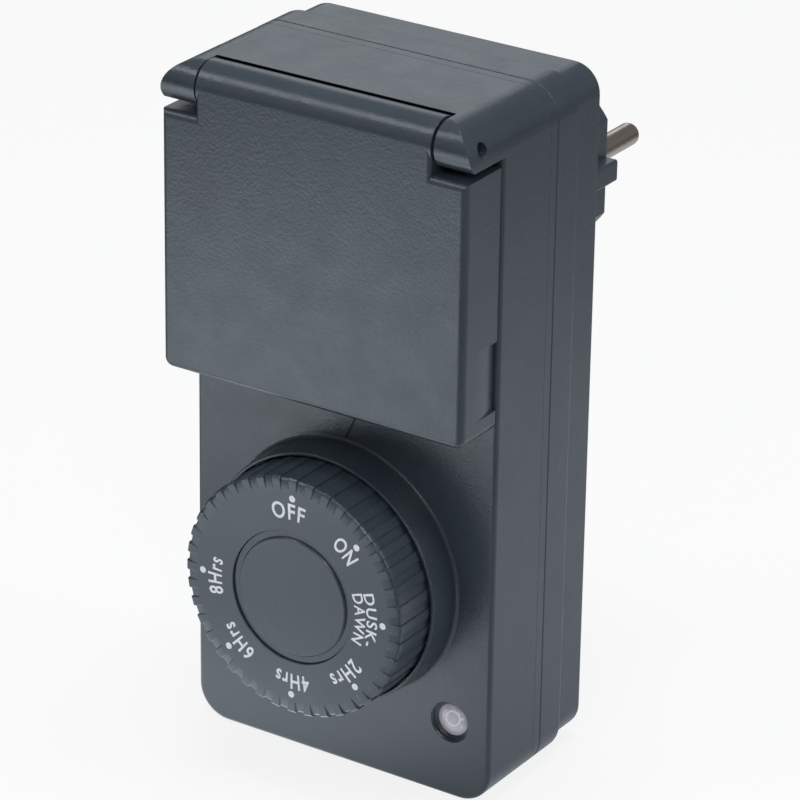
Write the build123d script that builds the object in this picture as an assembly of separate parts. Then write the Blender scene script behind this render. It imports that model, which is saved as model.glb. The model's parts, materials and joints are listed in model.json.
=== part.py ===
from build123d import *
import os
from math import cos, radians, sin, sqrt

# Plug-in timer switch for an earthed side-contact outlet: a splash-proof box with its own socket under a
# hinged lid, a rotary programme dial, a light sensor, and the plug on its back.
#
# Frame, in millimetres: the origin is the centre of the plug's face, which lies on the wall socket's floor.
# +Y points into the wall, along the pins. +Z is up and +X is to the right of someone facing the wall.
# Depths below are counted from the housing's front face, and heights from its foot, unless they say more.

# Housing
HOUSING_WIDTH = 70.0
HOUSING_CORNER = 7.0
WALL = 2.2
FRONT_SHELL_DEPTH = 18.9
FRONT_LAND_DEPTH = 2.4  # the full-size band beside the seam
FRONT_LAND_STEP = 0.02  # by which the rest of the front shell is narrower
FRONT_EDGE_ROUND = 0.9
SEAM_CHAMFER = 0.25
REAR_BAND_DEPTH = 8.2
REAR_BAND_ROUND = 1.0
REAR_STEP_DEPTH = 9.2
REAR_STEP_INSET = 1.17
REAR_EDGE_ROUND = 0.8

# Seal between the shells
SHELL_SEAL_WIDTH = 1.0
SHELL_SEAL_DEPTH = 0.9
SHELL_SEAL_INSET = 1.0
SEAL_CLEARANCE = 0.03

# Housing screws, driven from the back into posts of the front shell
SCREW_SIDE_INSET = 8.0
SCREW_FOOT_INSET = 8.0
SCREW_TOP_INSET = 9.2
SCREW_RADIUS = 1.5
SCREW_HEAD_RADIUS = 2.8
SCREW_HEAD_THICKNESS = 2.0
SCREW_GRIP = 8.0  # length inside the front shell's post
SCREW_CLEARANCE = 0.05
POST_RADIUS = 3.3
HEAD_WELL_RADIUS = 3.1
HEAD_WELL_DEPTH = 8.0
HEAD_WELL_WALL = 1.0

# Plug, to the side-contact plug standard
PLUG_REACH = 35.0  # from the housing's back to the plug's face
PLUG_HEIGHT = 108.4  # of the plug's and the socket's centre above the foot
PLUG_RADIUS = 18.2
PLUG_FLAT = 15.2
PLUG_ENTRY = 17.5  # depth of the part that enters a wall socket
PLUG_FACE_THICKNESS = 4.0
PLUG_BORE_CLEARANCE = 1.5  # around the busbars
PLUG_EDGE_ROUND = 0.8
NECK_PROUD = 1.8  # beyond the part that enters a wall socket
NECK_FLANGE_PROUD = 3.0
NECK_FLANGE_THICKNESS = 1.8
RIB_PROUD = 3.0
RIB_HEIGHT = 4.6
PIN_SPACING = 19.0
PIN_RADIUS = 2.4
PIN_LENGTH = 19.0
PIN_TIP_ROUND = 1.6
PIN_SHANK_RADIUS = 1.9
PIN_TAIL = 2.5  # by which the shank stands out behind the plug's face wall

# Earthing strips
STRIP_THICKNESS = 0.8
EARTH_WIDTH = 6.0
EARTH_SLOT_CLEARANCE = 0.15

# Socket well under the lid, to the side-contact socket standard
COLLAR_PROUD = 4.0
WELL_DEPTH = 17.5
WELL_CLEARANCE = 1.3  # around a plug
WELL_FLAT_CLEARANCE = 0.7
WELL_WALL = 2.2
WELL_FLOOR = 2.4
GUIDE_CLEARANCE = 0.35  # of the well's guide slots around a plug's ribs
PIN_HOLE_RADIUS = 2.75
INSERT_FLANGE_PROUD = 2.7
INSERT_FLANGE_THICKNESS = 1.5
INSERT_CLEARANCE = 0.1

# Contact carrier and the shutter in front of it
SHUTTER_THICKNESS = 1.8
SHUTTER_HEIGHT = 10.0
SHUTTER_CLEARANCE = 0.25
SHUTTER_TRAVEL = 6.0
SHUTTER_COVER = 0.4  # by which the closed shutter overlaps a pin hole all round
CARRIER_LEFT_LAND = 10.1  # beyond the shutter's closed end
CARRIER_HEIGHT = 26.0
CARRIER_PLATE = 3.2
CARRIER_END_WALL = 1.6
SHUTTER_SPRING_ROOM = 7.75  # for the spring when the shutter is open
SHUTTER_SPRING_RADIUS = 0.7
SHUTTER_SPRING_WIRE = 0.18
SHUTTER_SPRING_TURNS = 9
CLIP_BORE_RADIUS = 2.55
CLIP_THICKNESS = 0.7
CLIP_LENGTH = 12.5
CLIP_SLOT = 1.2
CLIP_FLANGE = 1.0
STRIP_WIDTH = 4.0

# Lid and its hinge
LID_SIDE_INSET = 0.4
LID_SHOULDER_DROP = 5.4  # from the hinge's axis to the lid's shoulders
LID_WALL = 2.2
LID_GAP = 0.25
LID_CORNER = 2.0  # of the lid's two lower corners
LID_SIDE_ROUND = 1.4
LID_EDGE_ROUND = 0.8  # beside the barrel
HINGE_PROUD = 7.0
BARREL_RADIUS = 4.94
EAR_RADIUS = 4.7
EAR_UNDERSIDE_DROP = 3.5  # from the hinge's axis
EAR_WIDTH = 8.0
EAR_GAP = 0.55
TROUGH_CLEARANCE = 0.57  # of the housing around the lid's barrel
HINGE_PIN_RADIUS = 1.5
HINGE_PIN_RECESS = 1.8
HINGE_RUNNING_CLEARANCE = 0.06
HINGE_FIXED_CLEARANCE = 0.02
SPRING_POCKET_LENGTH = 12.0
SPRING_POCKET_RADIUS = 3.6
SPRING_MEAN_RADIUS = 2.6
SPRING_WIRE_RADIUS = 0.35
SPRING_TURNS = 8
SCOOP_DEPTH = 0.8  # at the lid's back edge
SCOOP_LENGTH = 7.45  # forward from the lid's back edge
SCOOP_HEIGHT = 14.2
SCOOP_RISE = 4.3  # of its sill above the lid's foot
LID_SEAL_INSET = 0.1  # from the rim of the well
LID_SEAL_WIDTH = 3.0
LID_SEAL_MARGIN = 1.9  # between the seal and the lid's upper and lower walls
LID_SEAL_CLEARANCE = 0.3

# Dial: a boss on the housing with the knob's skirt running inside it
DIAL_GAP = 10.7  # from the lid's foot to the boss
BOSS_RIM_WIDTH = 0.6
BOSS_RIM_ROUND = 0.25
BOSS_TAPER = 0.45
BOSS_PROUD = 7.7
BOSS_FILLET = 0.7
BOSS_FLOOR_PROUD = 2.7
KNOB_RADIUS = 25.3
KNOB_PROUD = 17.5
KNOB_EDGE = 0.7
KNOB_SKIRT = 2.6
KNOB_FACE = 3.0
KNOB_RIM_CLEARANCE = 0.45
KNOB_FLOOR_CLEARANCE = 1.0
FLUTES = 40
FLUTE_WIDTH = 1.7
FLUTE_DEPTH = 0.35
HUB_RADIUS = 5.0
CAP_RADIUS = 13.9
CAP_STEP_WIDTH = 1.4
CAP_THICKNESS = 1.4
CAP_STEP = 0.55
CAP_CLEARANCE = 0.1
SHAFT_RADIUS = 3.0
SHAFT_FLAT = 0.8
SHAFT_RUNNING_CLEARANCE = 0.08
BUSH_RADIUS = 5.5
BUSH_LENGTH = 3.0
DIAL_SEAL_SECTION = 0.9
DIAL_SEAL_CLEARANCE = 0.3
SHAFT_CLIP_RADIUS = 4.6
SHAFT_CLIP_THICKNESS = 0.8
SHAFT_GROOVE_DEPTH = 0.5
MARK_WIDTH = 0.7
MARK_DEPTH = 0.3
MARK_LENGTH = 8.0
MARK_LEAN = 26.0
MARK_OFFSET = 0.6

# Light sensor
SENSOR_SIDE_INSET = 9.3
SENSOR_FOOT_INSET = 16.4
SENSOR_HOLE_RADIUS = 4.05
SENSOR_HOLE_CHAMFER = 0.35
LENS_FLANGE_PROUD = 0.8
LENS_FLANGE_THICKNESS = 1.0
LENS_STEM = 1.4
LENS_DOME_RISE = 0.9
LENS_CLEARANCE = 0.7
LENS_SEAL_THICKNESS = 0.5
SENSOR_BODY_RADIUS = 2.5
SENSOR_BODY_LENGTH = 4.5

# Circuit board and what it carries
BOARD_SIDE_GAP = 2.7
BOARD_FOOT_GAP = 1.7  # above the lower housing posts
BOARD_TOP_GAP = 8.8  # below the socket insert's flange
BOARD_CORNER = 1.0
BOARD_THICKNESS = 1.6
BOARD_POST_RADIUS = 2.7
BOARD_SCREW_RADIUS = 1.1
BOARD_SCREW_HEAD_RADIUS = 2.2
BOARD_SCREW_HEAD = 1.2
BOARD_SCREW_GRIP = 6.0
BOARD_POST_SIDE_INSET = 5.0  # of the upper posts
BOARD_POST_TOP_INSET = 6.2
BOARD_POST_SENSOR_GAP = 10.2  # of the lower posts
BOARD_POST_FOOT_INSET = 4.3
SWITCH_SIDE_WALL = 3.4
SWITCH_LENGTH = 6.6
SWITCH_GAP = 0.32  # behind the shaft's clip
SWITCH_WALL = 1.2
ROTOR_RADIUS = 9.5
ROTOR_NOTCHES = 8
ROTOR_NOTCH_RADIUS = 1.5
ROTOR_CLEARANCE = 0.6
BUSBAR_CLEARANCE = 0.3  # in front of the plug's inner flange
BUSBAR_TOP_INSET = 6.7  # from the board's upper edge
CONTACT_TOP_INSET = 2.7
CASE_CORNER = 0.5
LEG_RADIUS = 0.35
LEG_LENGTH = 1.5

# Components on the board's back: sizes across, up and out, and places across and above the board's foot
RELAY_SIZE = (19.0, 15.5, 15.3)
RELAY_PLACE = (-16.0, 36.0)
FILM_CAPACITOR_SIZE = (18.0, 8.0, 14.0)
FILM_CAPACITOR_PLACE = (16.0, 38.0)
CHIP_SIZE = (10.0, 7.6, 2.4)
CHIP_PLACE = (-14.0, 19.0)
SMOOTHING_CAPACITOR_RADIUS = 5.0
SMOOTHING_CAPACITOR_LENGTH = 15.0
SMOOTHING_CAPACITOR_PLACE = (20.0, 24.0)
VARISTOR_RADIUS = 5.5
VARISTOR_THICKNESS = 4.0
VARISTOR_LEG_SIDE = 2.5
VARISTOR_PLACE = (6.0, 24.0)
FUSE_RADIUS = 2.6
FUSE_LENGTH = 16.0
FUSE_CAP_LENGTH = 4.0
FUSE_CAP_WALL = 0.4
FUSE_GAP = 1.0
FUSE_PLACE = (-12.0, 8.0)
DIODES = 4
DIODE_RADIUS = 1.3
DIODE_LENGTH = 5.0
DIODE_GAP = 0.4
DIODE_PITCH = 4.5
DIODE_PLACE = (2.75, 14.5)

# Places that follow from the sizes
BACK = -PLUG_REACH
SEAM = BACK - REAR_STEP_DEPTH - REAR_BAND_DEPTH
FRONT = SEAM - FRONT_SHELL_DEPTH
FOOT = -PLUG_HEIGHT
FRONT_INSIDE = FRONT + WALL
BACK_INSIDE = BACK - WALL
LAND_FRONT = SEAM - FRONT_LAND_DEPTH
PIN_SIDE = PIN_SPACING / 2
PLUG_BORE_RADIUS = PIN_SIDE + STRIP_WIDTH / 2 + PLUG_BORE_CLEARANCE
NECK_RADIUS = PLUG_RADIUS + NECK_PROUD
NECK_FLANGE_RADIUS = NECK_RADIUS + NECK_FLANGE_PROUD

WELL_RADIUS = PLUG_RADIUS + WELL_CLEARANCE
WELL_FLAT = PLUG_FLAT + WELL_FLAT_CLEARANCE
COLLAR_FRONT = FRONT - COLLAR_PROUD
WELL_FLOOR_FRONT = COLLAR_FRONT + WELL_DEPTH
WELL_FLOOR_BACK = WELL_FLOOR_FRONT + WELL_FLOOR
INSERT_RADIUS = WELL_RADIUS + WELL_WALL
INSERT_FLANGE_RADIUS = INSERT_RADIUS + INSERT_FLANGE_PROUD
SHUTTER_REACH = PIN_SIDE + PIN_HOLE_RADIUS + SHUTTER_COVER
SHUTTER_SPACE = SHUTTER_THICKNESS + 2 * SHUTTER_CLEARANCE
CARRIER_BACK = WELL_FLOOR_BACK + SHUTTER_SPACE + CARRIER_PLATE
CARRIER_LEFT = -SHUTTER_REACH - SHUTTER_CLEARANCE - CARRIER_LEFT_LAND
SPRING_END = SHUTTER_REACH + SHUTTER_TRAVEL + SHUTTER_SPRING_ROOM
CARRIER_RIGHT = SPRING_END + CARRIER_END_WALL
CLIP_RADIUS = CLIP_BORE_RADIUS + CLIP_THICKNESS
CLIP_FRONT = CARRIER_BACK - CARRIER_PLATE
EARTH_OUTSIDE = WELL_RADIUS + STRIP_THICKNESS + EARTH_SLOT_CLEARANCE
EARTH_BRIDGE = CARRIER_BACK + STRIP_THICKNESS / 2

LID_SEAL_INNER_RADIUS = WELL_RADIUS + LID_SEAL_INSET
LID_SEAL_OUTER_RADIUS = LID_SEAL_INNER_RADIUS + LID_SEAL_WIDTH
LID_SHOULDER = LID_SEAL_OUTER_RADIUS + LID_SEAL_MARGIN + LID_WALL
LID_FOOT = -LID_SHOULDER
HINGE_Y = FRONT - HINGE_PROUD
HINGE_Z = LID_SHOULDER + LID_SHOULDER_DROP
TOP = HINGE_Z + EAR_RADIUS
HOUSING_HEIGHT = TOP - FOOT
MIDDLE = (TOP + FOOT) / 2
LID_WIDTH = HOUSING_WIDTH - 2 * LID_SIDE_INSET
LID_FRONT = HINGE_Y - BARREL_RADIUS
LID_BACK = FRONT - LID_GAP
LID_INSIDE = LID_FRONT + LID_WALL
BARREL_HALF = HOUSING_WIDTH / 2 - EAR_WIDTH - EAR_GAP
EAR_UNDERSIDE = HINGE_Z - EAR_UNDERSIDE_DROP

BOSS_POCKET_RADIUS = KNOB_RADIUS + KNOB_RIM_CLEARANCE
BOSS_RIM_RADIUS = BOSS_POCKET_RADIUS + BOSS_RIM_WIDTH
BOSS_FOOT_RADIUS = BOSS_RIM_RADIUS + BOSS_TAPER
DIAL_Z = LID_FOOT - DIAL_GAP - BOSS_FILLET - BOSS_FOOT_RADIUS
BOSS_FLOOR = FRONT - BOSS_FLOOR_PROUD
BOSS_RIM = FRONT - BOSS_PROUD
KNOB_FRONT = FRONT - KNOB_PROUD
KNOB_BACK = BOSS_FLOOR - KNOB_FLOOR_CLEARANCE
BUSH_BACK = FRONT_INSIDE + BUSH_LENGTH
SHAFT_FRONT = KNOB_FRONT + KNOB_FACE
SHAFT_CLIP_FRONT = BUSH_BACK + SHAFT_RUNNING_CLEARANCE
SHAFT_CLIP_BACK = SHAFT_CLIP_FRONT + SHAFT_CLIP_THICKNESS

SENSOR_X = HOUSING_WIDTH / 2 - SENSOR_SIDE_INSET
SENSOR_Z = FOOT + SENSOR_FOOT_INSET
LENS_FLANGE_RADIUS = SENSOR_HOLE_RADIUS + LENS_FLANGE_PROUD
LENS_SEAL_BACK = FRONT_INSIDE + LENS_SEAL_THICKNESS

SWITCH_FRONT = SHAFT_CLIP_BACK + SWITCH_GAP
SWITCH_SIDE = 2 * (ROTOR_RADIUS + ROTOR_CLEARANCE + SWITCH_SIDE_WALL)
ROTOR_THICKNESS = SWITCH_LENGTH - 2 * SWITCH_WALL - ROTOR_CLEARANCE
BOARD_FRONT = SWITCH_FRONT + SWITCH_LENGTH
BOARD_BACK = BOARD_FRONT + BOARD_THICKNESS
BOARD_WIDTH = HOUSING_WIDTH - 2 * (FRONT_LAND_STEP + WALL + BOARD_SIDE_GAP)
BOARD_FOOT = FOOT + SCREW_FOOT_INSET + POST_RADIUS + BOARD_FOOT_GAP
BOARD_TOP = -INSERT_FLANGE_RADIUS - BOARD_TOP_GAP
BUSBAR_Y = BACK_INSIDE - NECK_FLANGE_THICKNESS - BUSBAR_CLEARANCE - STRIP_THICKNESS / 2

SCREW_PLACES = [
    (side * (HOUSING_WIDTH / 2 - SCREW_SIDE_INSET), z)
    for z in (FOOT + SCREW_FOOT_INSET, TOP - SCREW_TOP_INSET)
    for side in (-1, 1)
]
BOARD_POST_PLACES = [
    (side * across, z)
    for across, z in (
        (BOARD_WIDTH / 2 - BOARD_POST_SIDE_INSET, BOARD_TOP - BOARD_POST_TOP_INSET),
        (SENSOR_X - BOARD_POST_SENSOR_GAP, BOARD_FOOT + BOARD_POST_FOOT_INSET),
    )
    for side in (-1, 1)
]


# Shapes along the axes


def along_y(outline, y_front, y_back, x=0.0, z=0.0):
    """The outline, drawn as seen from the front and centred on (x, z), between two depths."""
    return extrude(Plane.XZ.offset(-y_back) * Pos(x, z) * outline, amount=y_back - y_front)


def rod_y(radius, y_front, y_back, x=0.0, z=0.0):
    return along_y(Circle(radius), y_front, y_back, x, z)


def ring_y(inner, outer, y_front, y_back, x=0.0, z=0.0):
    return rod_y(outer, y_front, y_back, x, z) - rod_y(inner, y_front - 1, y_back + 1, x, z)


def slab(width, height, corner, y_front, y_back, x=0.0, z=0.0):
    return along_y(RectangleRounded(width, height, corner), y_front, y_back, x, z)


def block(x_left, x_right, y_front, y_back, z_low, z_high):
    """A box between six planes."""
    middle = Pos((x_left + x_right) / 2, (y_front + y_back) / 2, (z_low + z_high) / 2)
    return middle * Box(x_right - x_left, y_back - y_front, z_high - z_low)


def along_x(profile, x_left, x_right):
    """The profile, drawn in Y and Z, between two places across the width."""
    return extrude(Plane.YZ.offset(x_left) * profile, amount=x_right - x_left)


def rod_x(radius, x_left, x_right, y, z):
    return along_x(Pos(y, z) * Circle(radius), x_left, x_right)


def bent_strip(points, width, x=0.0):
    """A sheet-metal strip that follows (y, z) points, centred on x."""
    return along_x(trace(Polyline(*points), line_width=STRIP_THICKNESS), x - width / 2, x + width / 2)


def spring_coil(radius, wire, pitch, turns):
    """A helical spring that starts at the origin's plane and rises along +Z."""
    path = Helix(pitch=pitch, height=pitch * turns, radius=radius)
    section = Plane(origin=path @ 0, z_dir=path % 0) * Circle(wire)
    return sweep(section, path=path, is_frenet=True)


def edges_at(shape, axis, place):
    """The edges that lie wholly in the plane at one place along an axis."""
    return shape.edges().filter_by_position(axis, place - 0.001, place + 0.001)


# Housing


def hinge_bar_profile(front_radius):
    """Side view of the ears: a knuckle round the hinge, a flat top and a flat underside."""
    knuckle = Pos(HINGE_Y, HINGE_Z) * Circle(front_radius)
    neck_length = FRONT + FRONT_EDGE_ROUND + WALL - HINGE_Y
    neck = Pos(HINGE_Y + neck_length / 2, HINGE_Z) * Rectangle(neck_length, 2 * EAR_RADIUS)
    below = Pos(HINGE_Y, EAR_UNDERSIDE - EAR_RADIUS) * Rectangle(4 * HINGE_PROUD, 2 * EAR_RADIUS)
    return knuckle + neck - below


def make_hinge_bar():
    """Two ears and the hollowed ledge between them, rounded with the housing's top corners."""
    half = HOUSING_WIDTH / 2
    bar = along_x(hinge_bar_profile(EAR_RADIUS), -half, half)
    bar &= slab(HOUSING_WIDTH, HOUSING_HEIGHT, HOUSING_CORNER, LID_FRONT, FRONT + 5 * WALL, 0, MIDDLE)
    barrel_space = half - EAR_WIDTH
    bar -= rod_x(BARREL_RADIUS + TROUGH_CLEARANCE, -barrel_space, barrel_space, HINGE_Y, HINGE_Z)
    bar -= block(-barrel_space, barrel_space, LID_FRONT, HINGE_Y, EAR_UNDERSIDE - 1, TOP + 1)
    return bar


def make_boss():
    """The tapered ring round the dial, with its fillet and the pocket for the knob's skirt."""
    sunk = WALL / 2
    cone = Cone(BOSS_FOOT_RADIUS + BOSS_TAPER * sunk / BOSS_PROUD, BOSS_RIM_RADIUS, BOSS_PROUD + sunk)
    boss = Pos(0, BOSS_RIM + (BOSS_PROUD + sunk) / 2, DIAL_Z) * Rot(90, 0, 0) * cone
    boss = fillet(edges_at(boss, Axis.Y, BOSS_RIM), BOSS_RIM_ROUND)
    return boss - rod_y(BOSS_POCKET_RADIUS, BOSS_RIM - 1, BOSS_FLOOR, 0, DIAL_Z)


def make_index_mark():
    """A fine engraved line that leads from the lid to the dial."""
    lean = Rot(0, MARK_LEAN, 0)
    foot = Pos(MARK_OFFSET, FRONT, DIAL_Z + BOSS_FOOT_RADIUS + BOSS_FILLET)
    return foot * lean * Pos(0, 0, MARK_LENGTH / 2) * Box(MARK_WIDTH, 2 * MARK_DEPTH, MARK_LENGTH)


def make_front_shell():
    main_width = HOUSING_WIDTH - 2 * FRONT_LAND_STEP
    main_height = HOUSING_HEIGHT - FRONT_LAND_STEP
    main_middle = FOOT + main_height / 2
    shell = slab(main_width, main_height, HOUSING_CORNER, FRONT, LAND_FRONT, 0, main_middle)
    shell += make_boss()
    shell = fillet(boss_foot_edge(shell), BOSS_FILLET)
    shell = fillet(edges_at(shell, Axis.Y, FRONT).filter_by(is_outline_edge), FRONT_EDGE_ROUND)
    land = slab(HOUSING_WIDTH, HOUSING_HEIGHT, HOUSING_CORNER, LAND_FRONT, SEAM, 0, MIDDLE)
    shell += chamfer(edges_at(land, Axis.Y, SEAM), SEAM_CHAMFER)
    shell += make_hinge_bar()
    shell -= front_cavity()
    shell += front_posts()
    shell += rod_y(BUSH_RADIUS, FRONT_INSIDE - 0.1, BUSH_BACK, 0, DIAL_Z)
    shell -= front_openings()
    for x, z in SCREW_PLACES:
        shell -= rod_y(SCREW_RADIUS + SCREW_CLEARANCE, SEAM - SCREW_GRIP - 1, SEAM + 1, x, z)
    for x, z in BOARD_POST_PLACES:
        hole_front = BOARD_FRONT - BOARD_SCREW_GRIP - 1
        shell -= rod_y(BOARD_SCREW_RADIUS + SCREW_CLEARANCE, hole_front, BOARD_FRONT + 1, x, z)
    return shell


def boss_foot_edge(shell):
    return edges_at(shell, Axis.Y, FRONT).filter_by(GeomType.CIRCLE).filter_by(
        lambda edge: abs(edge.radius - BOSS_FOOT_RADIUS) < 0.1
    )


def is_outline_edge(edge):
    """True for the edges round the front face's outline, which lie outside the boss's fillet."""
    box = edge.bounding_box()
    reach = max(abs(box.min.X), abs(box.max.X))
    return reach > BOSS_FOOT_RADIUS + BOSS_FILLET + 0.5 or edge.geom_type != GeomType.CIRCLE


def front_cavity():
    width = HOUSING_WIDTH - 2 * (WALL + FRONT_LAND_STEP)
    height = HOUSING_HEIGHT - 2 * WALL - FRONT_LAND_STEP
    corner = HOUSING_CORNER - WALL
    return slab(width, height, corner, FRONT_INSIDE, SEAM + 1, 0, FOOT + WALL + height / 2)


def front_posts():
    posts = [rod_y(POST_RADIUS, FRONT_INSIDE - 0.1, SEAM, x, z) for x, z in SCREW_PLACES]
    posts += [rod_y(BOARD_POST_RADIUS, FRONT_INSIDE - 0.1, BOARD_FRONT, x, z) for x, z in BOARD_POST_PLACES]
    return posts


def front_openings():
    """Everything that pierces or marks the front wall."""
    lens_hole = rod_y(SENSOR_HOLE_RADIUS, FRONT - 1, FRONT_INSIDE + 1, SENSOR_X, SENSOR_Z)
    flare = 2 * SENSOR_HOLE_CHAMFER
    lens_hole += Pos(SENSOR_X, FRONT, SENSOR_Z) * Rot(90, 0, 0) * Cone(
        SENSOR_HOLE_RADIUS, SENSOR_HOLE_RADIUS + flare, flare
    )
    gland_radius = SHAFT_RADIUS + DIAL_SEAL_SECTION + DIAL_SEAL_CLEARANCE
    gland_back = BOSS_FLOOR + DIAL_SEAL_SECTION + DIAL_SEAL_CLEARANCE
    half = HOUSING_WIDTH / 2
    return [
        rod_y(SHAFT_RADIUS + SHAFT_RUNNING_CLEARANCE, BOSS_FLOOR - 1, BUSH_BACK + 1, 0, DIAL_Z),
        rod_y(gland_radius, BOSS_FLOOR - 1, gland_back, 0, DIAL_Z),
        rod_y(INSERT_RADIUS + INSERT_CLEARANCE, FRONT - 1, FRONT_INSIDE + 1),
        rod_x(HINGE_PIN_RADIUS + HINGE_FIXED_CLEARANCE, -half - 1, half + 1, HINGE_Y, HINGE_Z),
        lens_hole,
        make_index_mark(),
    ]


def make_rear_shell():
    band = slab(HOUSING_WIDTH, HOUSING_HEIGHT, HOUSING_CORNER, SEAM, SEAM + REAR_BAND_DEPTH, 0, MIDDLE)
    band = chamfer(edges_at(band, Axis.Y, SEAM), SEAM_CHAMFER)
    band = fillet(edges_at(band, Axis.Y, SEAM + REAR_BAND_DEPTH), REAR_BAND_ROUND)
    inset = 2 * REAR_STEP_INSET
    step_size = (HOUSING_WIDTH - inset, HOUSING_HEIGHT - inset, HOUSING_CORNER - REAR_STEP_INSET)
    step = slab(*step_size, SEAM + REAR_BAND_DEPTH - 1, BACK, 0, MIDDLE)
    shell = band + fillet(edges_at(step, Axis.Y, BACK), REAR_EDGE_ROUND)
    hollow = 2 * (REAR_STEP_INSET + WALL)
    room = (HOUSING_WIDTH - hollow, HOUSING_HEIGHT - hollow, HOUSING_CORNER - REAR_STEP_INSET - WALL)
    shell -= slab(*room, SEAM - 1, BACK_INSIDE, 0, MIDDLE)
    for x, z in SCREW_PLACES:
        well_floor = BACK - HEAD_WELL_DEPTH
        shell += rod_y(HEAD_WELL_RADIUS + HEAD_WELL_WALL, SEAM, BACK_INSIDE + 0.1, x, z)
        shell -= rod_y(HEAD_WELL_RADIUS, well_floor, BACK + 1, x, z)
        shell -= rod_y(SCREW_RADIUS + SCREW_CLEARANCE, SEAM - 1, well_floor + 1, x, z)
    shell -= rod_y(NECK_RADIUS + INSERT_CLEARANCE, BACK_INSIDE - 1, BACK + 1)
    shell -= shell_seal_ring(SEAL_CLEARANCE)
    return shell


def shell_seal_ring(clearance):
    """The ring of the seal between the shells, or its groove when a clearance is given."""
    outer = 2 * (SHELL_SEAL_INSET - clearance)
    inner = 2 * (SHELL_SEAL_INSET + SHELL_SEAL_WIDTH + clearance)
    corner = HOUSING_CORNER - SHELL_SEAL_INSET
    ends = (SEAM, SEAM + SHELL_SEAL_DEPTH + clearance)
    ring = slab(HOUSING_WIDTH - outer, HOUSING_HEIGHT - outer, corner + clearance, *ends, 0, MIDDLE)
    corner_inside = corner - SHELL_SEAL_WIDTH - clearance
    return ring - slab(HOUSING_WIDTH - inner, HOUSING_HEIGHT - inner, corner_inside, *ends, 0, MIDDLE)


def make_housing_screws():
    """Four identical pan-head screws, one node."""
    seat = BACK - HEAD_WELL_DEPTH
    screws = []
    for x, z in SCREW_PLACES:
        head = rod_y(SCREW_HEAD_RADIUS, seat, seat + SCREW_HEAD_THICKNESS, x, z)
        head = fillet(edges_at(head, Axis.Y, seat + SCREW_HEAD_THICKNESS), SCREW_HEAD_THICKNESS / 3)
        screw = head + rod_y(SCREW_RADIUS, SEAM - SCREW_GRIP, seat, x, z)
        slot = Box(1.2 * SCREW_HEAD_RADIUS, SCREW_HEAD_THICKNESS, SCREW_HEAD_THICKNESS / 3)
        cross = slot + Rot(0, 90, 0) * slot
        screw -= Pos(x, seat + 1.1 * SCREW_HEAD_THICKNESS, z) * cross
        screws.append(screw)
    return Compound(children=screws)


# Plug


def plug_outline(radius, flat):
    return Circle(radius) & Rectangle(2 * flat, 2 * radius)


def earth_finger_slots(inside, outside, y_front, y_back):
    """Room for the two earthing strips, one above and one below the middle."""
    half = EARTH_WIDTH / 2 + EARTH_SLOT_CLEARANCE
    upper = block(-half, half, y_front, y_back, inside, outside)
    return [upper, mirror(upper, Plane.XY)]


def make_plug_body():
    """The plug: a round body with flats and ribs, a round neck, and a flange inside the rear shell."""
    entry = along_y(plug_outline(PLUG_RADIUS, PLUG_FLAT), -PLUG_ENTRY, 0)
    entry = fillet(edges_at(entry, Axis.Y, 0), PLUG_EDGE_ROUND)
    neck = rod_y(NECK_RADIUS, BACK_INSIDE, -PLUG_ENTRY)
    neck = fillet(edges_at(neck, Axis.Y, -PLUG_ENTRY), PLUG_EDGE_ROUND)
    body = entry + neck
    body += rod_y(NECK_FLANGE_RADIUS, BACK_INSIDE - NECK_FLANGE_THICKNESS, BACK_INSIDE)
    rib_reach = PLUG_FLAT + RIB_PROUD
    rib = block(-rib_reach, rib_reach, -PLUG_ENTRY - 1, -PLUG_EDGE_ROUND, -RIB_HEIGHT / 2, RIB_HEIGHT / 2)
    rib_edges = rib.edges().filter_by(Axis.Y) + edges_at(rib, Axis.Y, -PLUG_EDGE_ROUND)
    body += fillet(rib_edges, RIB_HEIGHT / 8)
    body -= rod_y(PLUG_BORE_RADIUS, BACK_INSIDE - NECK_FLANGE_THICKNESS - 1, -PLUG_FACE_THICKNESS)
    for side in (-1, 1):
        body -= rod_y(PIN_SHANK_RADIUS + SCREW_CLEARANCE, -PLUG_FACE_THICKNESS - 1, 1, side * PIN_SIDE, 0)
    groove = STRIP_THICKNESS + EARTH_SLOT_CLEARANCE
    gate = groove + EARTH_SLOT_CLEARANCE
    body -= earth_finger_slots(PLUG_RADIUS - groove, PLUG_RADIUS + 1, -PLUG_ENTRY, 1)
    body -= earth_finger_slots(0, PLUG_RADIUS, -PLUG_ENTRY, -PLUG_ENTRY + gate)
    return body


def make_plug_pin(side):
    pin = rod_y(PIN_RADIUS, 0, PIN_LENGTH, side * PIN_SIDE, 0)
    pin = fillet(edges_at(pin, Axis.Y, PIN_LENGTH), PIN_TIP_ROUND)
    return pin + rod_y(PIN_SHANK_RADIUS, -PLUG_FACE_THICKNESS - PIN_TAIL, 0, side * PIN_SIDE, 0)


def make_plug_earth_strap():
    """One strip: its ends lie in the plug's top and bottom, and its middle crosses the plug's bore."""
    mid = STRIP_THICKNESS / 2
    outside = PLUG_RADIUS - mid
    gate = -PLUG_ENTRY + EARTH_SLOT_CLEARANCE + mid
    end = -PLUG_EDGE_ROUND - 1
    points = [(end, outside), (gate, outside), (gate, -outside), (end, -outside)]
    return bent_strip(points, EARTH_WIDTH)


def make_earth_link():
    """The strip that joins the plug's earth strap to the socket's, bent like a Z."""
    mid = STRIP_THICKNESS / 2
    plug_end = -PLUG_ENTRY + EARTH_SLOT_CLEARANCE - mid
    socket_end = EARTH_BRIDGE + STRIP_THICKNESS
    points = [
        (plug_end, EARTH_WIDTH),
        (plug_end, 0),
        (socket_end, 0),
        (socket_end, -EARTH_WIDTH),
    ]
    return bent_strip(points, EARTH_WIDTH - 1)


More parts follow.
